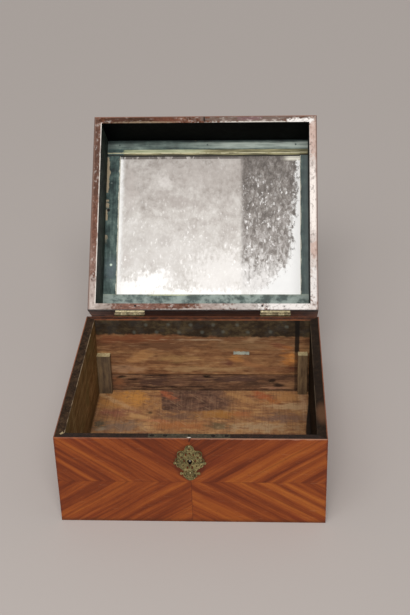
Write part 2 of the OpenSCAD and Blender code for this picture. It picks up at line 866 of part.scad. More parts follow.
module lid_top_board_back() {
    lid_top_board(-core_d / 2 + lid_top_front_w, core_d / 2);
}

// A quarter of the veneer on the lid's top
module top_quarter(x0, x1, y0, y1) {
    color("chocolate")
        opened()
            block([x0, y0, lid_top_z + lid_top_t], [x1, y1, lid_top_z + lid_top_t + veneer_t]);
}

module lid_top_veneer_front_left() {
    top_quarter(-box_w / 2, 0, -box_d / 2, 0);
}

module lid_top_veneer_front_right() {
    top_quarter(0, box_w / 2, -box_d / 2, 0);
}

module lid_top_veneer_back_left() {
    top_quarter(-box_w / 2, 0, 0, box_d / 2);
}

module lid_top_veneer_back_right() {
    top_quarter(0, box_w / 2, 0, box_d / 2);
}

// Half of the veneer on the lid's front
module lid_front_half(x0, x1) {
    color("chocolate")
        opened() block([x0, -box_d / 2, lid_rim_z], [x1, -core_d / 2, lid_top_z + lid_top_t]);
}

module lid_front_veneer_left() {
    lid_front_half(-box_w / 2, 0);
}

module lid_front_veneer_right() {
    lid_front_half(0, box_w / 2);
}

module lid_left_veneer() {
    opened() side_skin(lid_rim_z, lid_top_z + lid_top_t);
}

module lid_right_veneer() {
    opened() mirror([1, 0, 0]) side_skin(lid_rim_z, lid_top_z + lid_top_t);
}

module lid_back_veneer() {
    opened()
        difference() {
            back_skin(lid_rim_z, lid_top_z + lid_top_t);
            above_pins() leaf_kerfs();
        }
}

// Room for the glass and its packing, rebated into the back of the frame
module glass_pocket() {
    lap = glass_lap + seat_clear;
    block([glass_left - lap, glass_front - lap, lid_top_z - pocket_t],
        [glass_right + lap, glass_back + lap, lid_top_z + over]);
}

// Places of the frame's nails, on the frame's face, clear of the glass
module at_frame_nails() {
    rail_x = 2 * lid_inner_x;
    stile_y = glass_back - glass_front;
    for (k = rail_nail_shares) {
        translate([-lid_inner_x + k * rail_x, inner_front_y + (front_rail_w - front_bevel_w) / 2, frame_z])
            children();
        translate([-lid_inner_x + k * rail_x, inner_back_y - rear_rail_w / 2, frame_z]) children();
    }
    for (k = stile_nail_shares) {
        translate([-lid_inner_x + (left_stile_w - glass_lap) / 2, glass_front + k * stile_y, frame_z])
            children();
        translate([lid_inner_x - (right_stile_w - glass_lap) / 2, glass_front + k * stile_y, frame_z])
            children();
    }
}

module frame_nail_shanks(extra) {
    at_frame_nails() translate([0, 0, -extra])
        cylinder(d = frame_nail_d + 2 * extra, h = frame_nail_l + 2 * extra);
}

// A rail or a stile of the frame: its bar less the glass's room and the nails' holes
module frame_bar(low, high) {
    difference() {
        block([low[0], low[1], frame_z], [high[0], high[1], lid_top_z]);
        glass_pocket();
        frame_nail_shanks(hole_clear);
    }
}

module mirror_front_rail() {
    color("darkslategray")
        opened()
            difference() {
                frame_bar([-lid_inner_x, inner_front_y], [lid_inner_x, glass_front]);
                along_x(glass_left + bevel_stop, glass_right - glass_left - bevel_stop)
                    polygon([[glass_front - front_bevel_w, frame_z - over],
                        [glass_front - front_bevel_w, frame_z],
                        [glass_front, frame_z + front_bevel_t],
                        [glass_front + over, frame_z + front_bevel_t],
                        [glass_front + over, frame_z - over]]);
            }
}

module mirror_rear_rail() {
    color("darkslategray")
        opened()
            difference() {
                frame_bar([-lid_inner_x, glass_back], [lid_inner_x, inner_back_y]);
                along_x(glass_left, glass_right - glass_left)
                    polygon([[glass_back - over, frame_z - over],
                        [glass_back + sight_bevel, frame_z - over],
                        [glass_back + sight_bevel, frame_z],
                        [glass_back, frame_z + sight_bevel],
                        [glass_back - over, frame_z + sight_bevel]]);
            }
}

// A stile of the frame from its outer edge to the glass's side, bevelled towards the glass
module stile(outer_x, sight_x) {
    inwards = sign(sight_x - outer_x);
    difference() {
        frame_bar([min(outer_x, sight_x), glass_front], [max(outer_x, sight_x), glass_back]);
        along_y(glass_front - over, glass_back - glass_front + 2 * over)
            polygon([[sight_x + inwards * over, frame_z - over],
                [sight_x - inwards * sight_bevel, frame_z - over],
                [sight_x - inwards * sight_bevel, frame_z], [sight_x, frame_z + sight_bevel],
                [sight_x + inwards * over, frame_z + sight_bevel]]);
    }
}

module mirror_left_stile() {
    color("darkslategray") opened() stile(-lid_inner_x, glass_left);
}

module mirror_right_stile() {
    color("darkslategray") opened() stile(lid_inner_x, glass_right);
}

// A sheet the size of the looking glass between two heights
module glass_sheet(z0, z1) {
    block([glass_left - glass_lap, glass_front - glass_lap, z0],
        [glass_right + glass_lap, glass_back + glass_lap, z1]);
}

module mirror_glass() {
    color("lightgray") opened() glass_sheet(lid_top_z - pocket_t, lid_top_z - packing_t);
}

module mirror_packing() {
    color("wheat") opened() glass_sheet(lid_top_z - packing_t, lid_top_z);
}

module frame_nails() {
    color("dimgray")
        opened() {
            frame_nail_shanks(0);
            at_frame_nails() translate([0, 0, -frame_nail_head_t])
                cylinder(d = frame_nail_head_d, h = frame_nail_head_t);
        }
}

// The staple: a flat iron loop in the lid's rim, whose eye takes the bolt's head
module lid_staple() {
    low_z = bolt_head_z;
    high_z = bolt_top_z + eye_clear;
    color("black")
        opened()
            along_x(lock_x - staple_t / 2, staple_t)
                difference() {
                    union() {
                        translate([lock_mid_y, low_z]) circle(d = staple_w);
                        translate([lock_mid_y - staple_w / 2, low_z])
                            square([staple_w, lid_rim_z + staple_root - low_z]);
                    }
                    translate([lock_mid_y, low_z]) circle(d = staple_eye_w);
                    translate([lock_mid_y - staple_eye_w / 2, low_z])
                        square([staple_eye_w, high_z - low_z]);
                }
}

front_board();
left_board();
right_board();
back_board_lower();
back_board_upper();
floor_board_front();
floor_board_middle();
floor_board_back();
left_post();
right_post();
front_veneer_upper_left();
front_veneer_upper_right();
front_veneer_lower_left();
front_veneer_lower_right();
left_veneer();
right_veneer();
back_veneer();
escutcheon();
escutcheon_pins();
lock_plate();
lock_cap();
lock_bolt();
bolt_studs();
bolt_spring();
drill_pin();
lock_screws();
base_leaf_left();
base_leaf_right();
hinge_pins();
base_hinge_nails();
lid_front_board();
lid_back_board();
lid_left_board();
lid_right_board();
lid_top_board_front();
lid_top_board_back();
lid_top_veneer_front_left();
lid_top_veneer_front_right();
lid_top_veneer_back_left();
lid_top_veneer_back_right();
lid_front_veneer_left();
lid_front_veneer_right();
lid_left_veneer();
lid_right_veneer();
lid_back_veneer();
mirror_front_rail();
mirror_rear_rail();
mirror_left_stile();
mirror_right_stile();
mirror_glass();
mirror_packing();
frame_nails();
lid_staple();
lid_leaf_left();
lid_leaf_right();
lid_hinge_nails();
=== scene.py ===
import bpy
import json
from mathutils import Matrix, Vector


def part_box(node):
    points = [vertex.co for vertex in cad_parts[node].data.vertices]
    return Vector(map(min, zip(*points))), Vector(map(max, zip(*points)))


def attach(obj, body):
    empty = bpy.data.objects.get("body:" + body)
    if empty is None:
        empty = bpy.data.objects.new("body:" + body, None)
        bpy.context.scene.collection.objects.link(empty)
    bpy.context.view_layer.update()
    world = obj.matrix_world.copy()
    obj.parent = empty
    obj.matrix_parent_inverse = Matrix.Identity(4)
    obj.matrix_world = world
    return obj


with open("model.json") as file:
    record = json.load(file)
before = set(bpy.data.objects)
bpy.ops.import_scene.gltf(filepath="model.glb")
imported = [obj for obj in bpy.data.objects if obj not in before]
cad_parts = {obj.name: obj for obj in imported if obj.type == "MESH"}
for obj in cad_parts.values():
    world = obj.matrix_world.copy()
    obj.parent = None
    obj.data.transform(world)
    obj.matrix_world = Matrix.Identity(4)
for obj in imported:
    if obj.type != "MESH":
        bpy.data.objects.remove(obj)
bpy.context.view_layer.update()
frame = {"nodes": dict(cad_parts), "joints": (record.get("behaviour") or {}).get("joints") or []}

import json
from math import cos, radians, sin

import bmesh
import bpy
from mathutils import Matrix, Vector

# Sizes read from the frame, in millimetres

MM = 1000.0
hinge = next(j for j in frame["joints"] if j["name"] == "lid_hinge")
PIN = [c * MM for c in hinge["pos_m"]]
OPEN = radians(hinge["range_deg"][1])


def corners(node):
    low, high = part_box(node)
    return low * MM, high * MM


def shut_corners(node):
    """Corners of a lid piece once the lid is shut."""
    turn = Matrix.Rotation(OPEN, 3, "X")
    pin = Vector(PIN)
    points = [turn @ (v.co * MM - pin) + pin for v in frame["nodes"][node].data.vertices]
    return [Vector([pick(p[k] for p in points) for k in range(3)]) for pick in (min, max)]


quarter_low, quarter_high = corners("front_veneer_upper_left")
HALF_W, FRONT, H, SEAM = -quarter_low.x, -quarter_low.y, quarter_high.z, quarter_low.z
INNER_FRONT = corners("front_board")[1].y
INNER_BACK = corners("back_board_lower")[0].y
BACK_SEAM = corners("back_board_lower")[1].z
INNER_X = -corners("left_board")[1].x
FLOOR_TOP = corners("floor_board_front")[1].z
LEFT_POST_TOP, RIGHT_POST_TOP = corners("left_post")[1].z, corners("right_post")[1].z
RIGHT_POST_X = corners("right_post")[0].x
plate_low, plate_high = corners("escutcheon")
PLATE_X, PLATE_W = (plate_low.x + plate_high.x) / 2, plate_high.x - plate_low.x
KEY_Z = sum(c.z for c in corners("drill_pin")) / 2
LID_RIM = shut_corners("lid_left_board")[0].z
LID_X = -shut_corners("lid_left_board")[1].x
LID_FRONT = shut_corners("lid_front_board")[1].y
LID_BACK = shut_corners("lid_back_board")[0].y
GLASS_FRONT = shut_corners("mirror_front_rail")[1].y
GLASS_BACK = shut_corners("mirror_rear_rail")[0].y
GLASS_LEFT = shut_corners("mirror_left_stile")[1].x
GLASS_RIGHT = shut_corners("mirror_right_stile")[0].x

# The height that the plate's ornament is placed by: its outline stays just inside
PLATE_H = 52.0

# Stripes of the front veneer, a table for each sheet: its side and whether it is above or below the
# level seam, then where each stripe meets that seam, from the middle outwards, and its tone
STRIPES = [
    (-1, 1, [(-100, .28), (-60, .42), (-35, .36), (-15, .32), (0, .32), (10, .3), (22, .56), (32, .34),
        (45, .2), (58, .14), (66, .4), (77, .8), (86, .54), (93, .34), (103, .46), (111, .06),
        (118, .76), (126, .3), (140, .42), (165, .28)]),
    (-1, -1, [(-100, .5), (-60, .6), (-40, .5), (-18, .7), (-8, .4), (0, .28), (9, .48), (24, .36),
        (40, .28), (54, .16), (63, .5), (72, .62), (82, .76), (92, .55), (103, .25), (113, .18),
        (124, .5), (134, .62), (146, .3), (165, .4)]),
    (1, 1, [(-100, .3), (-60, .35), (-30, .32), (-12, .42), (2, .5), (14, .55), (22, .42), (28, .08),
        (35, .6), (45, .84), (57, .6), (70, .82), (79, .5), (89, .14), (95, .62), (108, .42), (120, .6),
        (135, .4), (150, .5), (165, .35)]),
    (1, -1, [(-100, .7), (-60, .78), (-42, .98), (-24, .84), (-12, .55), (-2, .4), (9, .56), (22, .36),
        (32, .54), (44, .3), (55, .74), (64, .64), (72, .3), (80, .78), (92, .98), (102, .4), (111, .92),
        (122, .5), (140, .6), (165, .5)])]
# How steeply the stripes run, and what that gains to the right and above
LEAN, LEAN_RIGHT, LEAN_UP = 0.684, -0.026, 0.036

# Stain patches, and on the glass and the lid's rims painted glare too: middle, half sizes, colour,
# strength, and a slant in degrees where there is one
FLOOR_STAINS = [
    (-118, 108, 34, 20, "b07a40", .8), (-100, 119, 16, 11, "b97f3c", .82, -30),
    (-127, 108, 34, 4, "b9936a", .62, -38), (-120, 80, 27, 8, "855140", .78),
    (-28, 72, 24, 11, "64493b", .78), (-52, 125, 15, 6, "a65c3a", .75, -40),
    (55, 118, 24, 5, "a97c4e", .86, -35), (88, 122, 19, 8, "9a5230", .86, -30),
    (105, 108, 13, 7, "9d5c2c", .78, -10), (122, 120, 20, 13, "ab7a4a", .78),
    (126, 97, 26, 8, "af8e69", .86), (144, 104, 5, 28, "b58e69", .78), (28, 75, 29, 9, "986731", .86),
    (56, 76, 12, 7, "9a5c3a", .62), (-90, 70, 21, 5, "b48858", .86, -25),
    (-60, 58, 19, 4, "a86b4a", .78, -10), (-76, 45, 11, 9, "c29765", .8),
    (-28, 48, 40, 9, "9c6238", .86), (-115, 45, 28, 11, "7b6250", .86), (-143, 48, 7, 9, "4d4535", .78),
    (25, 48, 15, 8, "5f5038", .86), (82, 45, 34, 9, "a88a67", .78), (114, 68, 28, 9, "755747", .86),
    (110, 79, 9, 5, "553d33", .62), (-140, 38, 5, 4, "a8977f", .5), (-30, -60, 90, 40, "8a6244", .62)]
BACK_STAINS = [
    (-80, 90, 85, 11, "65402a", .75), (60, 89, 80, 10, "6f4e34", .6), (-108, 96, 50, 6, "7f4a2e", .7),
    (-60, 84, 60, 5, "6b4a33", .5), (60, 84, 42, 6, "8d6c4a", .5), (-5, 94.5, 32, 1.2, "a98d6e", .8),
    (72, 95, 9, 3, "a88763", .6, 10), (73, 101, 3.5, 1.6, "17100a", .9),
    (110, 84, 15, 4, "7f4730", .6, -15), (-92, 66, 16, 7, "b38352", .65, 25),
    (-40, 64, 26, 6, "a27e50", .6), (47, 63, 7, 6, "b57d40", .7), (64, 55, 24, 3.5, "a8744a", .5, -15),
    (36, 55, 10, 4.5, "653c2e", .75), (0, 45, 62, 4, "a6835a", .75),
    (124, 62, 10, 13, "b37339", .75, 12), (128, 64, 4, 8, "cf8c4a", .6, 12),
    (127, 47, 7, 5, "572e21", .75), (95, 46, 20, 4, "7d5238", .6), (-118, 46, 30, 6, "a68263", .6)]
LOW_STAINS = [
    (-125, 22, 10, 8, "8c5a39", .65), (-70, 24, 22, 9, "44302a", .7), (-35, 25, 18, 7, "70503c", .5),
    (-5, 28, 13, 5, "4b312c", .7), (50, 28, 26, 5, "4b3733", .6), (78, 20, 25, 5, "36271f", .6),
    (125, 17, 10, 7, "9c744f", .65), (105, 13.5, 16, 2, "a37a5e", .7),
    (-118, 31, 6.5, 2.6, "150a05", .95), (-103, 27, 8, 1.5, "1c100a", .9),
    (4.5, 32.5, 4.5, 2.2, "150a05", .95), (100, 26, 5, 2.4, "1a110c", .9),
    (109, 18, 8, 3.2, "1c130e", .85), (-60, 14, 32, 1.5, "26170f", .9), (-12, 15, 15, 1.3, "2c1d16", .8),
    (-70, 33.5, 16, 1.0, "1d120d", .8)]
# Patches on the glass: grey clouding, and white painted glare towards the lid's back
GLASS_CLOUDS_AND_GLARE = [
    (-66, -72, 11, 9, "cbc6c1", .7, 20), (-42, -40, 36, 9, "9b928c", .6, 14),
    (-62, 22, 9, 8, "98908a", .7), (-122, 50, 9, 12, "b3aaa4", .6), (-118, -62, 10, 30, "ada49e", .6),
    (0, -85, 60, 22, "aaa29c", .5), (-60, 40, 70, 40, "bdb8b3", .5), (-80, 88, 26, 18, "eceae7", .85),
    (20, 78, 42, 34, "dad6d2", .7), (-112, 98, 40, 14, "ece9e6", .85), (0, 110, 170, 10, "efecea", .95)]
# Patches on the lid's rims: the dark ones are stains, the pale ones painted glare, brightest on the right
# rim
RIM_STAINS_AND_GLARE = [
    (-150, 142, 20, 9, "aea299", .75), (-90, 142, 34, 8, "8a6457", .5),
    (-20, 147, 46, 2.0, "c9bdb3", .8), (18, 142, 24, 9, "b1a29a", .75), (64, 142, 34, 9, "bdb4ae", .9),
    (126, 141.5, 40, 8, "ece6e1", .95), (-161, 128, 10, 32, "bfb1a9", .75),
    (-162, 70, 8, 26, "a08477", .4), (-160, -75, 8, 75, "4a3226", .6), (-160, 20, 7, 40, "6d4636", .4),
    (161, 10, 12, 190, "cfc3bc", 1.0), (161, -14, 9, 44, "f2e8e0", .95),
    (161, -118, 9, 34, "bfa092", .75), (160, 57, 7, 12, "bb9a8c", .7), (161, 112, 9, 26, "e6e0dc", .8),
    (-108, -143, 48, 8, "3b281c", .85), (-58, -143, 22, 6, "6b3f30", .6),
    (-130, -144, 16, 5, "5a3c32", .5), (78, -143, 84, 8, "74645c", .9), (64, -144, 18, 4, "7e5d62", .6),
    (20, -142, 14, 5, "6b5a50", .5), (-90, -138.5, 45, 1.5, "94806a", .7),
    (84, -137.6, 76, 1.7, "d9d2c9", .85), (140, -139.5, 20, 4, "f4efea", .95)]
# Nail holes in the lid's rear rim: how far across, and how far back
NAIL_HOLES, NAIL_HOLE_Y = (-96.6, 85.3), 141.0
# Lower edge of the dark band under the base's rear rim, and the pale marks in it
BAND_EDGE = 99.0
BAND_MARKS = [
    (-80, 119), (-48, 119.5), (-16, 119), (16, 119), (50, 119), (-97, 107), (-65, 107), (-33, 107),
    (0, 107), (30, 108), (65, 107), (97, 108), (120, 116)]


# Node helpers

class Value:
    """A number, vector or colour that a material has at each place. Sums of numbers make nodes."""

    def __init__(self, tree, socket):
        self.tree, self.socket = tree, socket

    def __add__(self, other):
        return self.tree.math("ADD", self, other)

    def __sub__(self, other):
        return self.tree.math("SUBTRACT", self, other)

    def __rsub__(self, other):
        return self.tree.math("SUBTRACT", other, self)

    def __mul__(self, other):
        return self.tree.math("MULTIPLY", self, other)

    def __truediv__(self, other):
        return self.tree.math("DIVIDE", self, other)

    def __abs__(self):
        return self.tree.math("ABSOLUTE", self)

    __radd__, __rmul__ = __add__, __mul__


class Tree:
    """A material whose nodes are written as sums; lengths are millimetres in the box's frame."""

    def __init__(self, name, lid=False):
        self.mat = bpy.data.materials.new(name)
        self.mat.use_nodes = True
        self.nt = self.mat.node_tree
        self.nt.nodes.clear()
        self.shader = self.node("BsdfPrincipled")
        self.nt.links.new(self.shader.outputs[0], self.node("OutputMaterial").inputs[0])
        coord = self.node("TexCoord").outputs["Object"]
        if lid:
            # Places are those of the shut lid
            turn = self.node("VectorRotate")
            turn.rotation_type = "X_AXIS"
            turn.inputs["Center"].default_value = [c / MM for c in PIN]
            turn.inputs["Angle"].default_value = OPEN
            self.nt.links.new(coord, turn.inputs["Vector"])
            coord = turn.outputs[0]
        self.p = self.vmath("SCALE", Value(self, coord), scale=MM)
        split = self.node("SeparateXYZ")
        self.put(split.inputs[0], self.p)
        self.x, self.y, self.z = (Value(self, socket) for socket in split.outputs)

    def node(self, kind):
        return self.nt.nodes.new("ShaderNode" + kind)

    def put(self, socket, value):
        if isinstance(value, Value):
            self.nt.links.new(value.socket, socket)
        elif isinstance(value, str):
            socket.default_value = (*rgb(value), 1.0)
        elif value is not None:
            socket.default_value = value

    def math(self, op, a, b=None):
        n = self.node("Math")
        n.operation = op
        self.put(n.inputs[0], a)
        self.put(n.inputs[1], b)
        return Value(self, n.outputs[0])

    def vmath(self, op, a, b=None, scale=None):
        n = self.node("VectorMath")
        n.operation = op
        self.put(n.inputs[0], a)
        if b is not None:
            self.put(n.inputs[1], b)
        if scale is not None:
            n.inputs["Scale"].default_value = scale
        return Value(self, n.outputs[0])

    def most(self, a, b):
        return self.math("MAXIMUM", a, b)

    def least(self, a, b):
        return self.math("MINIMUM", a, b)

    def sign(self, a):
        return self.math("SIGN", a)

    def length(self, a, b):
        return self.math("SQRT", a * a + b * b)

    def vec(self, x, y, z=0.0):
        n = self.node("CombineXYZ")
        for socket, value in zip(n.inputs, (x, y, z)):
            self.put(socket, value)
        return Value(self, n.outputs[0])

    def step(self, v, low, high, first=0.0, last=1.0):
        """A smooth change from first at low to last at high."""
        n = self.node("MapRange")
        n.interpolation_type = "SMOOTHSTEP"
        for value, socket in zip((v, low, high, first, last), n.inputs):
            self.put(socket, value)
        return Value(self, n.outputs[0])

    def fall(self, v, low, high):
        """A smooth change from one at low to zero at high."""
        return self.step(v, low, high, 1.0, 0.0)

    def band(self, v, low, high, soft):
        """One between low and high, fading over soft on each side."""
        return self.step(v, low - soft, low + soft) * self.fall(v, high - soft, high + soft)

    def sides(self, left, right):
        """One value left of the middle and another right of it."""
        return self.step(self.x, -1.0, 1.0, left, right)

    def spot(self, u, v, at, radius, soft):
        """A round spot on the plane of u and v."""
        away = self.length(u - at[0], v - at[1])
        return self.fall(away, radius - soft, radius + soft)

    def ring(self, u, v, at, radius, width):
        """A thin ring on the plane of u and v."""
        away = self.length(u - at[0], v - at[1])
        return self.fall(abs(away - radius), width * 0.4, width)

    def stretch(self, x=1.0, y=1.0, z=1.0):
        return self.vmath("MULTIPLY", self.p, (x, y, z))

    def noise(self, scale, detail=3.0, rough=0.55, vec=None, warp=0.0, seed=0.0):
        """Noise whose features are about 1/scale millimetres."""
        n = self.node("TexNoise")
        shift = (seed * 37.1, seed * 11.3, seed * 23.7)
        self.put(n.inputs["Vector"], self.vmath("ADD", vec or self.p, shift))
        settings = {"Scale": scale, "Detail": detail, "Roughness": rough, "Distortion": warp}
        for key, value in settings.items():
            n.inputs[key].default_value = value
        return Value(self, n.outputs[0])

    def sway(self, amount, scale=0.03, detail=3.0, vec=None, seed=0.0):
        """Noise about zero, amount millimetres from end to end."""
        return (self.noise(scale, detail, vec=vec, seed=seed) - 0.5) * amount

    def vary(self, base, amount, scale, detail=3.0):
        """A value that wanders between base and base plus amount."""
        return base + self.noise(scale, detail) * amount

    def cells(self, scale, vec):
        n = self.node("TexVoronoi")
        self.put(n.inputs["Vector"], vec)
        n.inputs["Scale"].default_value = scale
        return Value(self, n.outputs["Distance"])

    def mix(self, under, over, share):
        n = self.node("Mix")
        n.data_type = "RGBA"
        n.clamp_factor = True
        for k, value in ((0, share), (6, under), (7, over)):
            self.put(n.inputs[k], value)
        return Value(self, n.outputs[2])

    def blend(self, v, stops, kind="LINEAR"):
        n = self.node("ValToRGB")
        n.color_ramp.interpolation = kind
        elements = n.color_ramp.elements
        while len(elements) < len(stops):
            elements.new(1.0)
        for element, (at, colour) in zip(elements, stops):
            element.position = at
            element.color = (*colour, 1.0)
        self.put(n.inputs[0], v)
        return Value(self, n.outputs[0])

    def ramp(self, v, *stops):
        """stops are (place, colour) pairs in rising order."""
        return self.blend(v, [(at, rgb(colour)) for at, colour in stops])

    def curve(self, v, table):
        """A smooth curve through the (place, value) pairs of a table, read at v."""
        low, high = table[0][0], table[-1][0]
        line = self.node("MapRange")
        for value, socket in zip((v, low, high), line.inputs):
            self.put(socket, value)
        stops = [((at - low) / (high - low), (value,) * 3) for at, value in table]
        return self.blend(Value(self, line.outputs[0]), stops, "CARDINAL")

    def stains_and_glare(self, colour, u, v, table, ragged=1.0, seed=0, streak=(0.06, 0.2), soft=0.6):
        """Ragged-edged patches of stain on the plane of u and v, one over another; on the glass and the
        lid's rims they also paint glare.
        """
        grain = self.vec(u * streak[0], v * streak[1])
        rough = self.sway(1.1 * ragged, 0.06, 4.0, seed=seed)
        rough = rough + self.sway(3.4 * ragged, 1.0, 5.0, vec=grain, seed=seed + 1)
        for at_u, at_v, half_u, half_v, tone, strength, *slant in table:
            du, dv = u - at_u, v - at_v
            turn = radians(sum(slant))
            c, s = cos(turn), sin(turn)
            along = du * (c / half_u) + dv * (s / half_u)
            across = dv * (c / half_v) - du * (s / half_v)
            away = self.length(along, across) + rough
            colour = self.mix(colour, tone, self.step(away, 1.0 - soft, 1.0 + soft, strength, 0.0))
        return colour

    def finish(self, colour, rough, bump=None, depth=0.2, metal=0.0, specular=0.5):
        """depth is the bump's height in millimetres."""
        self.put(self.shader.inputs["Base Color"], colour)
        self.put(self.shader.inputs["Roughness"], rough)
        self.put(self.shader.inputs["Metallic"], metal)
        self.shader.inputs["Specular IOR Level"].default_value = specular
        if bump is not None:
            n = self.node("Bump")
            n.inputs["Distance"].default_value = depth / MM
            self.put(n.inputs["Height"], bump)
            self.nt.links.new(n.outputs[0], self.shader.inputs["Normal"])
        return self.mat


def rgb(text):
    """A colour written as the screen shows it, in linear light."""
    parts = [int(text[i:i + 2], 16) / 255 for i in (0, 2, 4)]
    return tuple(c / 12.92 if c <= 0.04045 else ((c + 0.055) / 1.055) ** 2.4 for c in parts)


# Veneers

def figured(t, u, v, seam_v, tables=()):
    """Four matched sheets of striped veneer that meet in arrows along the middle lines."""
    right, upper = t.sign(u), t.sign(v - seam_v)
    out, up = abs(u), abs(v - seam_v)
    side = right * 1.7 + upper * 0.35
    lean = LEAN + (right * LEAN_RIGHT + upper * LEAN_UP)
    meets = out - up / lean + t.sway(4.0, 0.016, 2.0, seed=3)
    across = meets * 0.56
    along = out * 0.83 + up * 0.56

    def grain(scale, run, seed, detail=3.0, rough=0.6):
        """Noise drawn out along the stripes, the more the smaller run is."""
        return t.noise(scale, detail, rough, vec=t.vec(across, along * run, side), seed=seed)

    broad = grain(0.05, 0.05, 1, 2.0, 0.5)
    if tables:
        drawn = 0.0
        for side_x, side_z, table in tables:
            here = t.step(u * side_x, -0.01, 0.01) * t.step((v - seam_v) * side_z, -0.01, 0.01)
            drawn = drawn + t.curve(meets, table) * here
        broad = drawn * 0.44 + broad * 0.52
    lines = grain(0.3, 0.016, 2)
    fine = grain(1.7, 0.03, 5)
    streaks = grain(0.11, 0.12, 10)
    tone = broad * 0.42 + (lines * 0.24 + (fine * 0.14 + streaks * 0.2))
    colour = t.ramp(tone, (0.35, "51210f"), (0.44, "6f3115"), (0.5, "85401a"), (0.57, "974f1f"),
                    (0.68, "ab6428"))
    red = grain(0.02, 0.3, 4, rough=0.55)
    colour = t.mix(colour, "742a18", t.step(red, 0.45, 0.72, 0.0, 0.55))
    dark = t.step(grain(0.2, 0.02, 7, rough=0.55), 0.57, 0.67)
    colour = t.mix(colour, "4a1d0f", dark * 0.3)
    pale = t.step(grain(0.24, 0.02, 8, rough=0.55), 0.6, 0.7)
    colour = t.mix(colour, "a4582c", pale * 0.3)
    pores = t.step(grain(2.4, 0.14, 6, 1.0, 0.4), 0.62, 0.74)
    colour = t.mix(colour, "3f1a0f", pores * 0.4)
    return colour, fine, pores


def front_veneer(name):
    t = Tree(name)
    colour, fine, pores = figured(t, t.x, t.z, SEAM, STRIPES)
    level = t.fall(abs(t.z - SEAM), 0.15, 0.5)
    upright = t.fall(abs(t.x), 0.15, 0.5) * t.fall(t.z, SEAM, SEAM + 1)
    seam = t.most(level * 0.4, upright * 0.7)
    colour = t.mix(colour, "351309", seam * 0.7)
    # The polish is rubbed through along the rim, most of all on the right
    edge = t.step(t.z + t.sway(2.6, 0.12), H - 1.4, H - 0.5)
    worn = edge * t.step(t.x + t.sway(60.0, 0.04), -70.0, 60.0, 0.3, 1.0)
    colour = t.mix(colour, "b98f78", worn * 0.55)
    # Darker along the foot: painted shade where the box meets the floor
    colour = t.mix(colour, "43230f", t.step(t.z + t.sway(5.0, 0.06), 1.0, 6.5, 0.5, 0.0))
    ends = t.step(abs(t.x), HALF_W - 3.0, HALF_W - 0.3) * t.step(t.noise(0.07), 0.35, 0.65)
    colour = t.mix(colour, "51231a", ends * 0.55)
    # Old polish stands dark round the plate, and a short split runs up from it to the rim
    away = t.length(t.x - PLATE_X, (t.z - (KEY_Z - 1.5)) * 0.76)
    colour = t.mix(colour, "3c180d", t.step(away, PLATE_W * 0.44, PLATE_W * 0.54, 0.42, 0.0))
    lean = PLATE_X + (t.z - (H - 4.0)) * 0.35
    split = t.fall(abs(t.x - lean), 0.5, 1.4) * t.step(t.z, H - 7.0, H - 3.0)
    colour = t.mix(colour, "2a100a", split * 0.7)
    scratch = t.step(t.noise(0.9, 2.0, 0.5, vec=t.stretch(x=0.06), seed=9), 0.67, 0.71)
    colour = t.mix(colour, "cf9f74", scratch * 0.12)
    rough = t.vary(0.36, 0.16, 0.05) + pores * 0.2
    bump = fine * 0.3 + t.noise(0.03, 2.0) * 1.2 - (pores * 0.4 + seam)
    return t.finish(colour, rough, bump, 0.1, specular=0.25)


def lid_front_veneer(name):
    t = Tree(name, True)
    colour, fine, pores = figured(t, t.x, t.z, SEAM)
    foot = t.step(t.z + t.sway(2.5, 0.09), LID_RIM + 0.3, LID_RIM + 1.4, 0.6, 0.0)
    colour = t.mix(colour, "6d5547", foot)
    rough = t.vary(0.36, 0.16, 0.05)
    return t.finish(colour, rough, fine * 0.4 - pores * 0.4, 0.1, specular=0.35)


def top_veneer(name):
    t = Tree(name, True)
    colour, fine, pores = figured(t, t.x, t.y, 0.0)
    worn = t.step(t.most(abs(t.x) - HALF_W, abs(t.y) - FRONT), -6.5, -0.2)
    colour = t.mix(colour, "4c2212", worn * t.step(t.noise(0.06), 0.35, 0.6))
    seam = t.fall(t.least(abs(t.x), abs(t.y)), 0.15, 0.5)
    colour = t.mix(colour, "351309", seam * 0.6)
    # The pale ring of a wet glass, broken and off the middle
    stain = t.ring(t.x, t.y, (70.0, -40.0), 38.0, 1.8) * t.step(t.noise(0.06, 2.0), 0.4, 0.6)
    colour = t.mix(colour, "c08a5e", stain * 0.3)
    scratch = t.step(t.noise(0.8, 2.0, 0.5, vec=t.stretch(x=0.05), seed=9), 0.66, 0.7)
    colour = t.mix(colour, "cf9f74", scratch * 0.18)
    rough = t.vary(0.36, 0.18, 0.04) + stain * 0.15
    bump = fine * 0.35 + t.noise(0.03, 2.0) * 1.5 - (seam + pores * 0.3)
    return t.finish(colour, rough, bump, 0.1, specular=0.35)


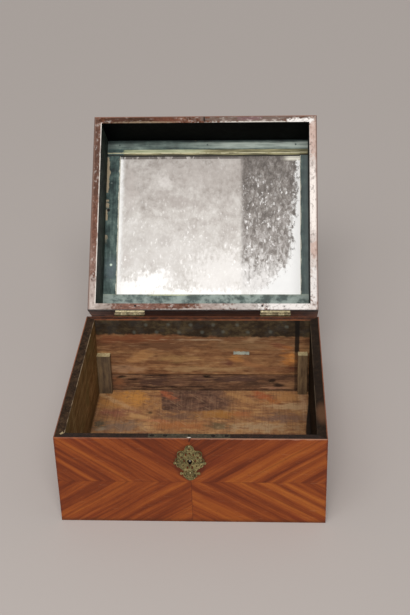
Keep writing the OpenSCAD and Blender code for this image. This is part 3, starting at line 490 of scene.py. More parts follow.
def plain_veneer(name, lid=False, back=False):
    """Straight-grained veneer for the sides and the back, with the grain running level."""
    t = Tree(name, lid)
    along = t.x if back else t.y
    wave = t.sway(34.0, 0.006, 2.0, vec=t.vec(along, 0.0, t.z * 2.0), seed=2)
    up = t.z + wave
    grain = t.vec(along * 0.03, up, t.sign(t.x))
    broad = t.noise(0.07, 3.0, 0.6, vec=grain, seed=1)
    fine = t.noise(0.9, 3.0, 0.6, vec=grain, seed=3)
    tone = broad * 0.7 + fine * 0.3
    colour = t.ramp(tone, (0.36, "4f2210"), (0.46, "733a1d"), (0.54, "8d4d2a"), (0.66, "a76737"))
    pores = t.step(t.noise(2.0, 1.0, 0.4, vec=t.vec(along * 0.16, up), seed=6), 0.64, 0.74)
    colour = t.mix(colour, "3a180d", pores * 0.35)
    # Darker along the foot as painted shade where the box meets the floor, and blotched with grime near
    # the ends
    ends = t.step(abs(along), FRONT - 9.0, FRONT - 1.0)
    foot = t.step(t.z, 0.5, 8.0, 0.55, 0.0)
    shade_and_dirt = t.most(foot, ends * t.step(t.noise(0.05), 0.4, 0.65))
    colour = t.mix(colour, "47200f", shade_and_dirt)
    scratch = t.step(t.noise(0.7, 2.0, 0.5, vec=t.stretch(x=0.3, y=0.05), seed=9), 0.67, 0.71)
    colour = t.mix(colour, "cf9f74", scratch * 0.16)
    if lid:
        worn = t.step(abs(t.z + t.sway(2.2, 0.09) - LID_RIM), 0.4, 1.6, 0.85, 0.0)
        # The worn edge is darker on the back, as painted shade
        colour = t.mix(colour, "3a241c" if back else "513b30", worn)
        if back:
            # Painted shade darkens the veneer above the hinges, between the lid and the base's rim
            colour = t.mix(colour, "180c08", t.step(t.z, LID_RIM + 1.0, LID_RIM + 22.0, 0.8, 0.0))
    else:
        worn = t.step(abs(t.z + t.sway(2.2, 0.09) - H), 0.4, 1.5, 0.35, 0.0)
        colour = t.mix(colour, "5e4030", worn)
    rough = t.vary(0.38, 0.2, 0.05)
    bump = fine * 0.4 + t.noise(0.03, 2.0) * 1.2 - pores * 0.5
    return t.finish(colour, rough, bump, 0.1, specular=0.35)


# Boards

def wood(t, u, v, tones, scale=1.0, seed=0, bend=18.0, mottle=0.0):
    """Old unpainted board: u runs along the grain and v across it."""
    wave = t.sway(bend, 0.008, 2.0, vec=t.vec(u, v * 1.5), seed=seed + 1)
    grain = t.vec(u * 0.045, v + wave)
    broad = t.noise(0.1 * scale, 3.0, 0.6, vec=grain, seed=seed + 2)
    fine = t.noise(0.85 * scale, 4.0, 0.62, vec=grain, seed=seed + 3)
    tone = broad * 0.55 + fine * 0.45
    if mottle:
        blots = t.noise(0.13, 5.0, 0.68, vec=t.vec(u * 0.4, v), seed=seed + 4)
        tone = tone * (1.0 - mottle) + blots * mottle
    return t.ramp(tone, *zip((0.36, 0.46, 0.55, 0.66), tones)), fine


BARE_WOOD = ("5a3a25", "7b553a", "94694a", "ab8060")


def dark_rim(t, tones, chip):
    """Worn dark wood on a rim, rubbed pale in spots."""
    n = t.noise(0.09, 4.0, 0.65, seed=11) * 0.6 + t.noise(0.45, 3.0, 0.6, seed=14) * 0.4
    colour = t.ramp(n, *zip((0.36, 0.46, 0.56, 0.68), tones))
    chips = t.step(t.noise(0.3, 3.0, 0.6, seed=12), 0.62, 0.7)
    return t.mix(colour, chip, chips * 0.5)


def back_face(t):
    """Inner face of the back boards: brown boards under a dark band, with knots along the lower seam."""
    colour, fine = wood(t, t.x, t.z, ("4d301d", "785034", "946a45", "bd9566"), 1.1, 3, 12.0, 0.4)
    colour = t.stains_and_glare(colour, t.x, t.z, BACK_STAINS, 1.0, 8)
    low, _ = wood(t, t.x, t.z, ("3d2a1f", "5c402e", "76543c", "916b4e"), 1.2, 15, 8.0, 0.5)
    low = t.stains_and_glare(low, t.x, t.z, LOW_STAINS, 0.9, 18)
    under = t.fall(t.z + t.sway(1.2, 0.1, seed=4), BACK_SEAM - 0.4, BACK_SEAM + 0.4)
    colour = t.mix(colour, low, under)
    colour = t.mix(colour, "39231a", t.step(fine, 0.54, 0.66) * 0.5)
    cracks = t.noise(0.5, 4.0, 0.66, vec=t.stretch(x=0.07), seed=26)
    colour = t.mix(colour, "3b2619", t.step(cracks, 0.56, 0.66, 0.0, 0.5))
    colour = t.mix(colour, "b8926a", t.step(cracks, 0.44, 0.34, 0.0, 0.35))
    edge = t.z + (t.sway(9.0, 0.09, 4.0, seed=5) + t.step(t.x, -70.0, 10.0, -2.5, 1.5))
    blots = t.noise(0.1, 5.0, 0.7, vec=t.stretch(x=0.6), seed=6)
    stain = t.ramp(blots, (0.35, "18120a"), (0.5, "2f2619"), (0.66, "4f432d"))
    cold = t.noise(0.05, 3.0, 0.6, seed=7)
    stain = t.mix(stain, "2c2d2c", t.step(cold, 0.5, 0.62, 0.0, 0.45))
    colour = t.mix(colour, stain, t.step(edge, BAND_EDGE, BAND_EDGE + 4.0) * 0.95)
    for mark in BAND_MARKS:
        shape = t.spot(t.x + t.sway(3.0, 0.3), t.z + t.sway(3.0, 0.3, seed=2), mark, 2.4, 1.9)
        colour = t.mix(colour, "6c7066", shape * 0.4)
    # A dark strip over the right post; below the post's top it is painted shadow beside the post
    strip = t.band(t.x + t.sway(1.5, 0.08), RIGHT_POST_X - 4.6, RIGHT_POST_X + 1.8, 1.0)
    colour = t.mix(colour, "0f0a06", strip * t.step(t.z, 71.0, 76.0, 0.6, 0.92))
    line = t.band(t.z + t.sway(0.8, 0.1), BACK_SEAM - 0.5, BACK_SEAM + 0.9, 0.4)
    colour = t.mix(colour, "1d120b", line * t.step(t.noise(0.03, 2.0), 0.35, 0.6, 0.35, 0.9))
    # Darker just above the floor: painted shade in the corner
    shade_and_dirt = t.step(t.z + t.sway(6.0, 0.05), FLOOR_TOP, FLOOR_TOP + 4.0, 0.5, 0.0)
    return t.mix(colour, "2b1b12", shade_and_dirt), fine


def base_wall(name, part):
    """Boards of the base: worn rim, stained inner face with painted shade on the right wall and towards
    the floor, bare joints elsewhere.
    """
    t = Tree(name)
    if part == "back":
        colour, fine = back_face(t)
        inner = t.fall(t.y, INNER_BACK + 0.2, INNER_BACK + 0.6)
        rim_tones, chip = ("1c100b", "351e14", "4c2a1c", "673c27"), "7d4c33"
    elif part == "front":
        colour, fine = wood(t, t.x, t.z, ("2a1d14", "44301f", "5b432d", "72583d"), 1.0, 5)
        inner = t.step(t.y, INNER_FRONT - 0.6, INNER_FRONT - 0.2)
        rim_tones, chip = ("100a06", "1e130c", "2a1a12", "3f2a1e"), "4c382a"
    else:
        colour, fine = wood(t, t.y, t.z, ("45341f", "6d512f", "866741", "a5865c"), 1.0, 7, mottle=0.35)
        green = t.noise(0.03, 4.0, 0.6, seed=9)
        colour = t.mix(colour, "5c5a34", t.step(green, 0.45, 0.65, 0.0, 0.45))
        runs = t.step(t.noise(0.12, 3.0, 0.6, vec=t.stretch(z=0.08), seed=10), 0.55, 0.7)
        colour = t.mix(colour, "a58c60", runs * 0.35)
        # Darker towards the floor: painted shade
        low = t.step(t.z + t.sway(20.0, 0.04), 8.0, 50.0, 0.4, 0.0)
        colour = t.mix(colour, "33271a", low)
        # The right wall's inner face is darkened almost to black: painted shade
        colour = t.mix(colour, "030404", t.sides(0.0, 0.985))
        inner = t.fall(abs(t.x), INNER_X + 0.2, INNER_X + 0.6)
        rim_tones, chip = ("1c140d", "2d2118", "3d2d20", "524130"), "6d573f"
    bare, _ = wood(t, t.x, t.z, BARE_WOOD, 1.3, 12)
    colour = t.mix(bare, colour, inner)
    near = t.step(t.z, H - 2.2, H - 0.6) * t.step(t.noise(0.2, seed=4), 0.45, 0.55)
    colour = t.mix(colour, "8d6a55", near * 0.16)
    rim = t.step(t.z, H - 0.35, H - 0.15)
    top = dark_rim(t, rim_tones, chip)
    if part == "back":
        # The inner edge is rubbed to a bright line
        line = t.step(t.y + t.sway(0.8, 0.1), INNER_BACK + 1.5, INNER_BACK + 0.7)
        line = line * t.step(t.noise(0.05, seed=16), 0.38, 0.55, 0.35, 0.95)
        top = t.mix(top, "b0683f", line)
    if part == "side":
        top = t.mix(top, "1a1410", t.sides(0.0, 0.7))
        brown = t.spot(t.x, (t.y + 92.0) * 0.35, (160.0, 0.0), 7.0, 4.0) * 0.6
        top = t.mix(top, "6b4a34", brown)
        # A pale line along the inner edge: painted highlight, strongest on the left
        line = t.step(abs(t.x), INNER_X + 1.0, INNER_X + 0.3)
        line = line * t.step(t.noise(0.05, seed=16), 0.42, 0.56, 0.15, 0.8)
        top = t.mix(top, "a08b70", line * t.sides(1.0, 0.25))
        # A pale chip where the left wall meets the front
        away = abs(t.x + (INNER_X + 3.0)) + abs(t.y + (FRONT - 8.5)) * 0.8
        chipped = t.fall(away + t.noise(0.3) * 3.0, 4.2, 5.2)
        top = t.mix(top, "b3a07a", chipped * 0.7)
    colour = t.mix(colour, top, rim)
    rough = t.vary(0.62, 0.2, 0.1) - rim * 0.1
    bump = fine + t.noise(0.4, 4.0, 0.6, seed=13) * (0.5 + rim * 1.2)
    return t.finish(colour, rough, bump, 0.22, specular=0.06 if part == "side" else 0.25)


def floor_wood(name):
    t = Tree(name)
    colour, fine = wood(t, t.x, t.y, ("5e3f2a", "83593b", "9c7148", "bf9262"), 0.9, 21, mottle=0.5)
    # A broad dark stain with a sharp left edge behind the middle
    edge = t.x + t.sway(5.0, 0.09, 4.0, seed=23) + (t.y - 110.0) * 0.12
    frayed = t.x + t.sway(50.0, 0.05, 4.0, seed=27)
    dark = t.step(edge, -62.0, -58.5) * t.fall(frayed, 24.0, 52.0)
    dark = dark * t.step(t.y + t.sway(9.0, 0.08, 4.0, seed=28), 82.0, 87.0)
    blots = t.noise(0.12, 5.0, 0.68, vec=t.stretch(x=0.5), seed=29)
    purple = t.ramp(blots, (0.38, "402b24"), (0.5, "5c4236"), (0.64, "7d5b45"))
    colour = t.mix(colour, purple, dark * 0.92)
    colour = t.stains_and_glare(colour, t.x, t.y, FLOOR_STAINS, 1.1, 22, (0.09, 0.18), 0.7)
    colour = t.mix(colour, "4b3527", t.step(fine, 0.56, 0.7) * 0.4)
    # Old plane marks run across the boards, and pale scuffs run aslant
    planed = t.noise(0.5, 3.0, 0.6, vec=t.stretch(y=0.07), seed=30)
    colour = t.mix(colour, "46322a", t.step(planed, 0.52, 0.66, 0.0, 0.26))
    colour = t.mix(colour, "b9987a", t.step(planed, 0.48, 0.36, 0.0, 0.1))
    aslant = t.vec(t.x + t.y * 1.1, (t.y - t.x) * 0.12)
    scars = t.step(t.noise(0.28, 4.0, 0.6, vec=aslant, seed=24), 0.58, 0.68)
    colour = t.mix(colour, "bd9a74", scars * 0.22)
    colour = t.mix(colour, "33241b", t.spot(t.x, t.y, (-74.0, 79.0), 3.2, 2.2) * 0.75)
    # Darker along the walls: painted shade in the corners
    away = t.least(INNER_X - abs(t.x), INNER_BACK - abs(t.y))
    colour = t.mix(colour, "3a281c", t.step(away + t.sway(4.0, 0.08), 0.0, 3.0, 0.45, 0.0))
    # The right end is darkened almost to black, widening towards the front: painted shade beside the right
    # wall
    black = t.x + t.sway(1.5, 0.1) + t.step(t.y, 130.0, 30.0, 0.0, 6.0)
    colour = t.mix(colour, "0c0805", t.step(black, INNER_X - 1.5, INNER_X + 0.5, 0.0, 0.95))
    colour = t.mix(colour, "7b634e", t.step(t.z, FLOOR_TOP - 0.6, FLOOR_TOP - 0.2, 0.7, 0.0))
    rough = t.vary(0.6, 0.22, 0.09)
    bump = fine + t.noise(0.3, 4.0, 0.6, seed=25) * 1.2 - scars * 0.6
    return t.finish(colour, rough, bump, 0.25, specular=0.25)


def post_wood(name, top, tones):
    t = Tree(name)
    colour, fine = wood(t, t.z, t.x, tones, 1.6, 31, 6.0, 0.3)
    end = t.ramp(t.noise(0.3), (0.3, "94815c"), (0.7, "c4b48a"))
    colour = t.mix(colour, end, t.step(t.z, top - 0.4, top - 0.15))
    # Darker towards the foot: painted shade
    low = t.step(t.z + t.sway(10.0, 0.1), 12.0, 28.0, 0.4, 0.0)
    colour = t.mix(colour, "33271d", low)
    return t.finish(colour, 0.62 + fine * 0.2, fine + t.noise(0.4), 0.25, specular=0.25)


def lid_wall(name, part):
    """Boards of the lid: painted inner face, darkened as painted shade on the front and right walls, and a
    rim with stains and painted glare, brightest towards the right.
    """
    t = Tree(name, True)
    paint = t.ramp(t.noise(0.05, 4.0, 0.6, seed=41), (0.35, "0c110f"), (0.55, "18221d"), (0.75, "27362e"))
    if part == "front":
        # The front wall's inner face is darkened almost to black: painted shade
        paint = t.mix(paint, "020202", 0.97)
        inner = t.step(t.y, LID_FRONT - 0.6, LID_FRONT - 0.2)
    elif part == "back":
        inner = t.fall(t.y, LID_BACK + 0.2, LID_BACK + 0.6)
    else:
        # The left wall's green paint is rubbed thin, and the right wall's inner face is darkened almost to
        # black as painted shade
        worn = t.step(t.noise(0.09, 4.0, 0.65, seed=42), 0.42, 0.62)
        paint = t.mix(paint, "37443a", worn * t.sides(0.7, 0.0))
        paint = t.mix(paint, "040404", t.sides(0.0, 0.85))
        inner = t.fall(abs(t.x), LID_X + 0.2, LID_X + 0.6)
    bare, fine = wood(t, t.x, t.z, BARE_WOOD, 1.3, 12)
    colour = t.mix(bare, paint, inner)
    lip = t.fall(t.z, LID_RIM + 0.8, LID_RIM + 3.0) * t.step(t.noise(0.12, seed=43), 0.4, 0.55)
    colour = t.mix(colour, "6d6157", lip * inner * 0.4)
    rim = t.fall(t.z, LID_RIM + 0.15, LID_RIM + 0.35)
    top = dark_rim(t, ("402419", "5c3828", "724b3a", "8a6554"), "b09a8e")
    # Dark stains, and pale patches of painted glare
    top = t.stains_and_glare(top, t.x, t.y, RIM_STAINS_AND_GLARE, 0.8, 45, (0.25, 0.25), 0.35)
    # Fine dark mottling, and pale specks of painted glint, over all
    drawn_out = (1.0, 0.5, 1.0) if part == "side" else (0.5, 1.0, 1.0)
    blots = t.noise(0.22, 4.0, 0.66, vec=t.stretch(*drawn_out), seed=46)
    top = t.mix(top, "4a342b", t.step(blots, 0.52, 0.66, 0.0, 0.45))
    top = t.mix(top, "e2d8d0", t.step(blots, 0.46, 0.34, 0.0, 0.35))
    if part == "side":
        # A pale line along the inner edge: painted highlight, strongest on the left
        line = t.step(abs(t.x) + t.sway(1.2, 0.15), LID_X + 1.6, LID_X + 0.7)
        line = line * t.step(t.noise(0.06, seed=48), 0.4, 0.5, 0.3, 0.95)
        top = t.mix(top, "e3dbd2", line * t.sides(1.0, 0.3))
        outer = t.step(abs(t.x), HALF_W - 3.4, HALF_W - 1.6)
        top = t.mix(top, "8a6d5f", outer * 0.5)
    if part == "back":
        for x in NAIL_HOLES:
            top = t.mix(top, "0c0605", t.spot(t.x, t.y, (x, NAIL_HOLE_Y), 1.6, 0.5))
    colour = t.mix(colour, top, rim)
    rough = t.vary(0.58, 0.2, 0.15, 4.0) - rim * 0.08
    bump = fine * 0.4 + t.noise(0.35, 4.0, 0.65, seed=44) * (0.7 + rim * 1.6)
    return t.finish(colour, rough, bump, 0.25, specular=0.04 if part == "front" else 0.2)


def lid_top_wood(name):
    t = Tree(name, True)
    colour, fine = wood(t, t.x, t.y, ("4a2f20", "6d4a33", "875f43", "a27d5a"), 1.0, 51)
    return t.finish(colour, 0.6 + fine * 0.2, fine, 0.25, specular=0.3)


# The looking glass and its frame

def frame_paint(name, part):
    """Blue-green paint on the looking glass's frame, rubbed through to the wood along some edges."""
    t = Tree(name, True)
    along, across = (t.x, t.y) if part in ("front", "rear") else (t.y, t.x)
    brush = t.noise(0.3, 3.0, 0.6, vec=t.vec(along * 0.08, across, t.z), seed=61)
    patch = t.noise(0.06, 4.0, 0.65, seed=62)
    tone = patch * 0.6 + brush * 0.4
    colour = t.ramp(tone, (0.38, "202e2d"), (0.47, "354744"), (0.56, "4e615c"), (0.68, "7d8d84"))
    if part == "front":
        sight = GLASS_FRONT - 10.0
        # A painted highlight runs along the rail, strongest on the right
        rubbed = t.x + t.sway(60.0, 0.03, 4.0, seed=67)
        shine = t.band(t.y + t.sway(2.0, 0.08), sight - 12.0, sight - 2.0, 2.5)
        shine = shine * t.step(rubbed, -50.0, 40.0, 0.2, 0.95)
        colour = t.mix(colour, "c1ccc1", shine * t.step(brush, 0.35, 0.55, 0.5, 1.0))
        # Darker towards the lid's front wall: painted shade
        colour = t.mix(colour, "1b2423", t.step(t.y, sight - 16.0, sight - 10.0, 0.8, 0.0))
        grime = t.ramp(brush, (0.36, "4a442b"), (0.5, "766e4b"), (0.64, "a0986f"))
        pale = t.ramp(brush, (0.36, "8d9571"), (0.55, "c0c3a0"))
        inner = t.fall(t.y, sight + 3.5, sight + 6.5)
        grime = t.mix(grime, pale, t.step(rubbed, -30.0, 0.0, 0.9, 0.1) * inner)
        bevel = t.step(t.y, sight - 0.4, sight + 0.2)
        colour = t.mix(colour, grime, bevel * t.step(t.x, GLASS_LEFT + 3.0, GLASS_LEFT + 7.0))
        ridge = t.band(t.y + t.sway(1.5, 0.06), sight + 4.6, sight + 6.0, 0.6)
        colour = t.mix(colour, "d6cfab", ridge * t.step(patch, 0.4, 0.5, 0.3, 0.9))
        colour = t.mix(colour, "15110c", t.step(t.y, GLASS_FRONT - 2.4, GLASS_FRONT - 1.2, 0.0, 0.93))
    elif part == "rear":
        # Pale patches and a pale spot: painted highlight
        colour = t.mix(colour, "a3aea6", 0.12 + t.step(patch, 0.4, 0.6) * 0.55)
        colour = t.mix(colour, "c5ccc6", t.spot(t.x, t.y, (-120.0, 128.0), 8.0, 5.0) * 0.8)
        edge = t.step(t.y + t.sway(3.0, 0.05), GLASS_BACK + 3.0, GLASS_BACK + 1.0)
        green = t.step(abs(t.x + 55.0), 20.0, 36.0, 0.9, 0.15)
        colour = t.mix(colour, "b9bd98", edge * green)
    elif part == "left":
        # Bare wood shows in short strips where the stile meets the wall
        ragged = t.x + t.sway(9.0, 0.1, 4.0, seed=64)
        patches = t.step(t.noise(0.03, 2.0, vec=t.stretch(x=0.2, y=2.4), seed=65), 0.5, 0.55)
        patches = patches * t.fall(t.y, 10.0, 30.0)
        bare = t.fall(ragged, -151.0, -150.0) * patches
        colour = t.mix(colour, "b5a284", bare * 0.85)
        colour = t.mix(colour, "6d7a80", t.spot(t.x, (t.y - 68.0) * 0.5, (-144.0, 0.0), 8.0, 6.0) * 0.5)
        colour = t.mix(colour, "040404", t.spot(t.x, t.y, (-150.0, -25.5), 2.4, 0.8))
        colour = t.mix(colour, "e0f0dc", t.spot(t.x, t.y, (-143.5, 61.0), 1.8, 0.7) * 0.95)
        lip = t.step(t.x + t.sway(5.0, 0.12, 4.0, seed=68), GLASS_LEFT - 1.6, GLASS_LEFT - 0.8)
        colour = t.mix(colour, "dedac8", lip * 0.85)
    else:
        colour = t.mix(colour, "66706f", t.step(t.x, GLASS_RIGHT + 2.0, GLASS_RIGHT + 10.0, 0.35, 0.75))
        lip = t.fall(t.x + t.sway(4.0, 0.12, 4.0, seed=68), GLASS_RIGHT + 0.7, GLASS_RIGHT + 1.4)
        colour = t.mix(colour, "dedac8", lip * 0.8)
    chips = t.step(t.noise(0.3, 4.0, 0.65, seed=66), 0.66, 0.71)
    colour = t.mix(colour, "a89a7c", chips * 0.4)
    rough = t.vary(0.46, 0.25, 0.12, 4.0)
    bump = brush * 0.8 + t.noise(0.2) * 0.8 - chips * 0.8
    return t.finish(colour, rough, bump, 0.22, specular=0.25)


def old_mirror(name):
    """Old looking glass with its reflection painted in: clouded silvering under painted glare, and a
    darker right third full of pale specks.
    """
    t = Tree(name, True)
    cloud = t.noise(0.03, 5.0, 0.6, warp=0.5, seed=71)
    fine = t.noise(0.1, 5.0, 0.68, seed=72)
    # Down the glass, from the lid's front to its back, the tone turns paler: painted reflection
    paler = t.step(t.y, -110.0, 90.0, -0.08, 0.09)
    tone = cloud * 0.5 + fine * 0.5 + paler
    pale = t.ramp(tone, (0.34, "8f8780"), (0.45, "aaa39d"), (0.55, "bdb8b2"), (0.68, "d4d0cc"))
    pale = t.stains_and_glare(pale, t.x, t.y, GLASS_CLOUDS_AND_GLARE, 1.0, 76, (0.2, 0.12), 0.5)
    # Long specks of lost silver, packed close on the right
    bent = t.vmath("ADD", t.stretch(y=0.45), t.vmath("SCALE", t.vec(fine, cloud, fine), scale=14.0))
    specks = t.noise(0.19, 4.0, 0.64, vec=bent, seed=78)
    small = t.fall(t.cells(0.24, bent) + fine * 0.6, 0.36, 0.72)
    large = t.fall(t.cells(0.2, bent) + fine * 0.6, 0.46, 0.62)
    large = large * t.step(t.noise(0.05, seed=79), 0.42, 0.6, 0.25, 1.0)
    deep = t.ramp(cloud * 0.2 + (specks * 0.8 + paler * 0.9), (0.32, "4c443e"), (0.43, "625a54"),
                  (0.52, "7c756f"), (0.64, "a19b97"))
    lower = t.step(t.y, -106.0, -50.0, 0.1, 1.0)
    # Towards the lid's back the right third turns pale: painted glare
    glare_to_back = t.step(t.y + (specks - 0.5) * 130.0, 35.0, 92.0, 0.0, 0.75)
    deep = t.mix(deep, "dcd9d6", glare_to_back)
    deep = t.mix(deep, "cdcac6", small * (lower * 0.5))
    deep = t.mix(deep, "efedeb", large * (lower * 0.7))
    pale = t.mix(pale, "f1efec", t.most(small * 0.35, large) * t.step(t.y, -80.0, 40.0, 0.15, 0.6))
    split = t.step(t.x + t.sway(3.5, 0.05, seed=73), 49.5, 57.0)
    colour = t.mix(pale, deep, split)
    # Pale along the edges, widest in the rear right corner, breaking up into specks: bare glass, with
    # painted glare in the rear right corner
    ragged = t.sway(14.0, 0.09, 4.0, seed=75) + (specks - 0.5) * 40.0
    right = t.x + ragged - t.step(t.y, -110.0, 80.0, 139.0, 124.0)
    rear = t.y + ragged - t.step(t.x, 40.0, 110.0, 112.0, 92.0)
    corner = (t.x + t.y) * 0.71 + ragged - 130.0
    left = GLASS_LEFT + 4.5 - ragged * 0.22 - t.x
    bare = t.step(t.most(t.most(right, rear), t.most(corner, left)), -4.5, 4.5)
    colour = t.mix(colour, "f0efed", bare * 0.97)
    # Painted glare in the front right corner
    glow = t.step(t.x, 112.0, 128.0) * t.step(t.y, GLASS_FRONT + 9.0, GLASS_FRONT + 4.0)
    colour = t.mix(colour, "e9e4d4", glow * 0.85)
    # The frame's shadow on the front edge, with chips of light in it
    front = t.step(t.y, GLASS_FRONT + 4.6, GLASS_FRONT + 3.4)
    front = front * t.step(t.x, 44.0, 60.0, 1.0, 0.35)
    chips = t.step(t.noise(0.12, vec=t.stretch(y=0.3), seed=77), 0.56, 0.64, 1.0, 0.1)
    colour = t.mix(colour, "453c36", front * chips * 0.85)
    rough = 0.32 + (fine * 0.2 + bare * 0.2)
    return t.finish(colour, rough, cloud * 0.5 + large * 0.3, 0.04, metal=0.1, specular=0.3)


# Metal and paper

def old_brass(name, tones, lid=False, engraved=False):
    t = Tree(name, lid)
    n = t.noise(0.22, 4.0, 0.6, seed=81)
    fine = t.noise(0.9, 4.0, 0.6, seed=82)
    colour = t.ramp(n * 0.5 + fine * 0.5, *zip((0.38, 0.5, 0.62), tones))
    green = t.step(t.noise(0.3, seed=83), 0.52, 0.66)
    colour = t.mix(colour, "5c6142", green * 0.45)
    bump = fine + n * 2.0
    if engraved:
        out = abs(t.x - PLATE_X)
        cut = t.ring(t.x - PLATE_X, t.z, (0.0, KEY_Z), PLATE_W * 0.135, 0.55)
        for across, up, radius in ((0.0, 0.355, 0.105), (0.27, 0.215, 0.092), (0.36, 0.03, 0.075),
                                   (0.0, -0.405, 0.135)):
            at = (across * PLATE_W, KEY_Z + up * PLATE_H)
            cut = t.most(cut, t.ring(out, t.z, at, radius * PLATE_W, 0.5))
        colour = t.mix(colour, "2c2816", cut * 0.7)
        bump = bump - cut * 2.0
    return t.finish(colour, 0.34 + fine * 0.3, bump, 0.12, metal=0.55)


def old_iron(name, tones, lid=False, metal=0.5):
    t = Tree(name, lid)
    n = t.noise(0.3, 4.0, 0.65, seed=91)
    colour = t.ramp(n, *zip((0.35, 0.52, 0.7), tones))
    rust = t.step(t.noise(0.18, 4.0, 0.65, seed=92), 0.56, 0.68)
    colour = t.mix(colour, "4a2a18", rust * 0.3)
    if name == "iron_plate":
        # A bright spot in front of the staple's slot: worn bright metal with a painted glint
        burr_and_glint = t.spot(t.x * 0.45, t.y, (PLATE_X * 0.45, INNER_FRONT - 7.6), 1.0, 0.5)
        colour = t.mix(colour, "e6ded2", burr_and_glint * t.step(t.z, H - 0.3, H - 0.1))
    return t.finish(colour, 0.42 + n * 0.3, n + t.noise(1.2), 0.15, metal=metal)


def old_paper(name, tones, lid=False):
    t = Tree(name, lid)
    n = t.noise(0.12, 5.0, 0.65, seed=101)
    return t.finish(t.ramp(n, *zip((0.34, 0.52, 0.7), tones)), 0.85, n, 0.15)


# Each finish, then how the names of the nodes that wear it start: a node wears the first that fits
FINISHES = [
    (base_wall("wall_front", "front"), "front_board"),
    (base_wall("wall_side", "side"), "left_board", "right_board"),
    (base_wall("wall_back", "back"), "back_board"),
    (floor_wood("floor_wood"), "floor_board"),
    (post_wood("post_left", LEFT_POST_TOP, ("42352a", "614f3d", "7b6549", "957b58")), "left_post"),
    (post_wood("post_right", RIGHT_POST_TOP, ("473628", "66503a", "81684a", "9a7d55")), "right_post"),
    (front_veneer("veneer_front"), "front_veneer"),
    (plain_veneer("veneer_side"), "left_veneer", "right_veneer"),
    (plain_veneer("veneer_back", back=True), "back_veneer"),
    (old_brass("brass_pins", ("5b5130", "978860", "d6c894")), "escutcheon_pins"),
    (old_brass("brass_plate", ("4a4226", "7d7048", "b3a570"), engraved=True), "escutcheon"),
    (old_iron("iron_plate", ("28231a", "403a2b", "5a5240"), metal=0.3), "lock_plate"),
    (old_iron("iron_dark", ("100d0a", "221c17", "3c332c")), "lock_cap", "lock_screws", "base_hinge_nails"),
    (old_iron("iron_bright", ("8a8378", "bdb6aa", "e4ded3"), metal=0.7),
     "drill_pin", "lock_bolt", "bolt_studs", "bolt_spring"),
    # The base's hinge leaf and pins are a darker copy of the lid's brass: painted shade
    (old_brass("brass_hinge", ("382e1d", "5f5238", "867860")), "base_leaf", "hinge_pins"),
    (old_brass("brass_hinge_lid", ("574d36", "807456", "aca081"), lid=True), "lid_leaf"),
    (lid_wall("lid_wall_front", "front"), "lid_front_board"),
    (lid_wall("lid_wall_back", "back"), "lid_back_board"),
    (lid_wall("lid_wall_side", "side"), "lid_left_board", "lid_right_board"),
    (lid_top_wood("lid_top_wood"), "lid_top_board"),
    (top_veneer("veneer_top"), "lid_top_veneer"),
    (lid_front_veneer("veneer_lid_front"), "lid_front_veneer"),
    (plain_veneer("veneer_lid_side", True), "lid_left_veneer", "lid_right_veneer"),
    (plain_veneer("veneer_lid_back", True, True), "lid_back_veneer"),
    (frame_paint("paint_front", "front"), "mirror_front_rail"),
    (frame_paint("paint_rear", "rear"), "mirror_rear_rail"),
    (frame_paint("paint_left", "left"), "mirror_left_stile"),
    (frame_paint("paint_right", "right"), "mirror_right_stile"),
    (old_mirror("silvered_glass"), "mirror_glass"),
    (old_paper("packing", ("6e5e45", "94835f", "b5a57f"), True), "mirror_packing"),
    (old_paper("painted_nails", ("424e4b", "5c6864", "7a857e"), True), "frame_nails"),
    (old_iron("iron_lid", ("100d0a", "241e19", "40372f"), True), "lid_staple", "lid_hinge_nails"),
]
for name, obj in frame["nodes"].items():
    if not obj.material_slots:
        obj.data.materials.append(None)
    for slot in obj.material_slots:
        slot.material = next(finish for finish, *starts in FINISHES if name.startswith(tuple(starts)))

# Worn edges: half widths of the small bevels, in millimetres
WORN = {"veneer": 0.2, "board": 0.5, "post": 0.6, "rail": 0.5, "stile": 0.5, "escutcheon": 0.25,
        "lock_plate": 0.2}
for name, obj in frame["nodes"].items():
    width = next((w for word, w in WORN.items() if word in name), None)
    if width:
        bevel = obj.modifiers.new("worn_edges", "BEVEL")
        bevel.width = width / MM
        bevel.segments = 2
        bevel.limit_method = "ANGLE"
        bevel.angle_limit = radians(50)


# Stage, light and camera

scene = bpy.context.scene
# Colour of the backdrop, and half of the floor's side in metres
BACKDROP = "b7afaa"
FLOOR_REACH = 12.0


def added(name, data):
    """A new object in the scene."""
    obj = bpy.data.objects.new(name, data)
    scene.collection.objects.link(obj)
    return obj


stage_mat = bpy.data.materials.new("stage_paper")
stage_mat.use_nodes = True
paper = stage_mat.node_tree.nodes["Principled BSDF"]
paper.inputs["Base Color"].default_value = (*rgb(BACKDROP), 1.0)
paper.inputs["Roughness"].default_value = 0.95
paper.inputs["Specular IOR Level"].default_value = 0.05
floor_mesh = bpy.data.meshes.new("stage_floor")
floor_corners = [(x * FLOOR_REACH, y * FLOOR_REACH, 0) for x, y in ((-1, -1), (1, -1), (1, 1), (-1, 1))]
floor_mesh.from_pydata(floor_corners, [], [(0, 1, 2, 3)])
floor = added("stage_floor", floor_mesh)
floor_mesh.materials.append(stage_mat)

world = scene.world or bpy.data.worlds.new("studio")
scene.world = world
world.use_nodes = True
nodes = world.node_tree.nodes
join = world.node_tree.links.new
sky = next(n for n in nodes if n.type == "BACKGROUND")
sky.inputs[0].default_value = (*rgb("faf8f6"), 1.0)
sky.inputs[1].default_value = 0.36
seen = nodes.new("ShaderNodeBackground")
seen.inputs[0].default_value = (*rgb(BACKDROP), 1.0)
choose = nodes.new("ShaderNodeMixShader")
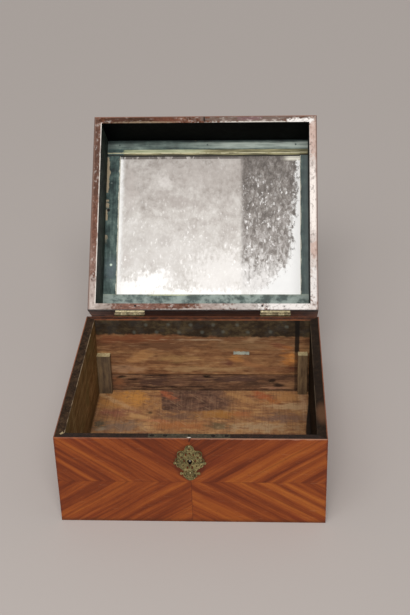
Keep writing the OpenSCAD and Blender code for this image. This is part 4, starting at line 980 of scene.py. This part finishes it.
# The camera, and what metal and glass reflect, see the backdrop, and all other rays see the sky
rays = nodes.new("ShaderNodeLightPath").outputs
sees_backdrop = rays["Is Camera Ray"]
for kind in ("Is Glossy Ray", "Is Transmission Ray"):
    either = nodes.new("ShaderNodeMath")
    either.operation = "MAXIMUM"
    join(sees_backdrop, either.inputs[0])
    join(rays[kind], either.inputs[1])
    sees_backdrop = either.outputs[0]
join(sees_backdrop, choose.inputs[0])
join(sky.outputs[0], choose.inputs[1])
join(seen.outputs[0], choose.inputs[2])
join(choose.outputs[0], next(n for n in nodes if n.type == "OUTPUT_WORLD").inputs[0])


def aim(light, at, towards):
    light.location = at
    light.rotation_euler = (Vector(at) - Vector(towards)).to_track_quat("Z", "Y").to_euler()


# A broad soft key from the front, and a pool of light on the ground before the box
key = bpy.data.lights.new("key_light", "SUN")
key.energy = 2.0
key.angle = radians(35)
aim(added("key_light", key), (0.2, -2.6, 2.7), (0, 0, 0))
pool = bpy.data.lights.new("pool_light", "AREA")
pool.energy = 6.0
pool.size = 0.8
aim(added("pool_light", pool), (-0.3, -0.95, 1.35), (-0.12, -0.3, 0))

# The camera: place in metres, turn in degrees, and the lens of the photograph's frame
CAMERA_AT = Vector((0.09338, -1.26742, 0.93371))
YAW, PITCH, ROLL = radians(-3.593), radians(29.188), radians(-1.698)
FOCAL_PX, FRAME_H_PX, SENSOR = 1148.39, 615.0, 36.0
cam_data = bpy.data.cameras.new("camera")
cam = added("camera", cam_data)
scene.camera = cam
forward = Vector((sin(YAW) * cos(PITCH), cos(YAW) * cos(PITCH), -sin(PITCH)))
right = Vector((cos(YAW), -sin(YAW), 0.0))
up = right.cross(forward)
turned_right = cos(ROLL) * right + sin(ROLL) * up
turned_up = cos(ROLL) * up - sin(ROLL) * right
matrix = Matrix((turned_right, turned_up, -forward)).transposed().to_4x4()
matrix.translation = CAMERA_AT
cam.matrix_world = matrix
cam_data.sensor_fit = "VERTICAL"
cam_data.sensor_height = SENSOR
cam_data.lens = FOCAL_PX * SENSOR / FRAME_H_PX
cam_data.clip_start = 0.05
cam_data.clip_end = 60.0
scene.view_settings.view_transform = "Standard"


# Small pieces that only the finish needs

SCRAP_X, SCRAP_Z, SCRAP_W, SCRAP_H, SCRAP_THICK = 44.0, 70.3, 22.5, 5.0, 0.15
SCRAP_COLUMNS, SCRAP_ROWS = 12, 4
# How far the torn edge strays at each column
SCRAP_TEAR = [0.0, 0.3, -0.2, 0.1, 0.4, 0.0, -0.4, 0.1, 0.3, 0.0, -0.3, 0.2, 0.0]


def paper_scrap():
    """The torn scrap of paper that is still stuck to the back boards."""
    bm = bmesh.new()
    rows = []
    for j in range(SCRAP_ROWS + 1):
        row = []
        for i in range(SCRAP_COLUMNS + 1):
            x = SCRAP_X + SCRAP_W * i / SCRAP_COLUMNS
            if i in (0, SCRAP_COLUMNS):
                x += 0.5 if j % 2 else -0.2
            z = SCRAP_Z + SCRAP_H * j / SCRAP_ROWS
            if j == SCRAP_ROWS:
                z += SCRAP_TEAR[i]
            elif j == 0:
                z -= SCRAP_TEAR[(i * 5) % len(SCRAP_TEAR)] * 0.8
            curl = max(0.0, i / SCRAP_COLUMNS - 0.7) ** 2 * 4.0
            lift = 0.12 + curl + (0.25 if j == SCRAP_ROWS else 0.0)
            row.append(bm.verts.new(Vector((x, INNER_BACK - lift, z)) / MM))
        rows.append(row)
    for low, high in zip(rows, rows[1:]):
        for i in range(SCRAP_COLUMNS):
            bm.faces.new((low[i], low[i + 1], high[i + 1], high[i]))
    mesh = bpy.data.meshes.new("paper_scrap")
    bm.to_mesh(mesh)
    bm.free()
    scrap = added("paper_scrap", mesh)
    sheet = scrap.modifiers.new("thickness", "SOLIDIFY")
    sheet.thickness = SCRAP_THICK / MM
    sheet.offset = 0.0
    mesh.materials.append(old_paper("paper_blue", ("8b9289", "a6ab9c", "c0bfa8")))
    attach(scrap, "base")


paper_scrap()
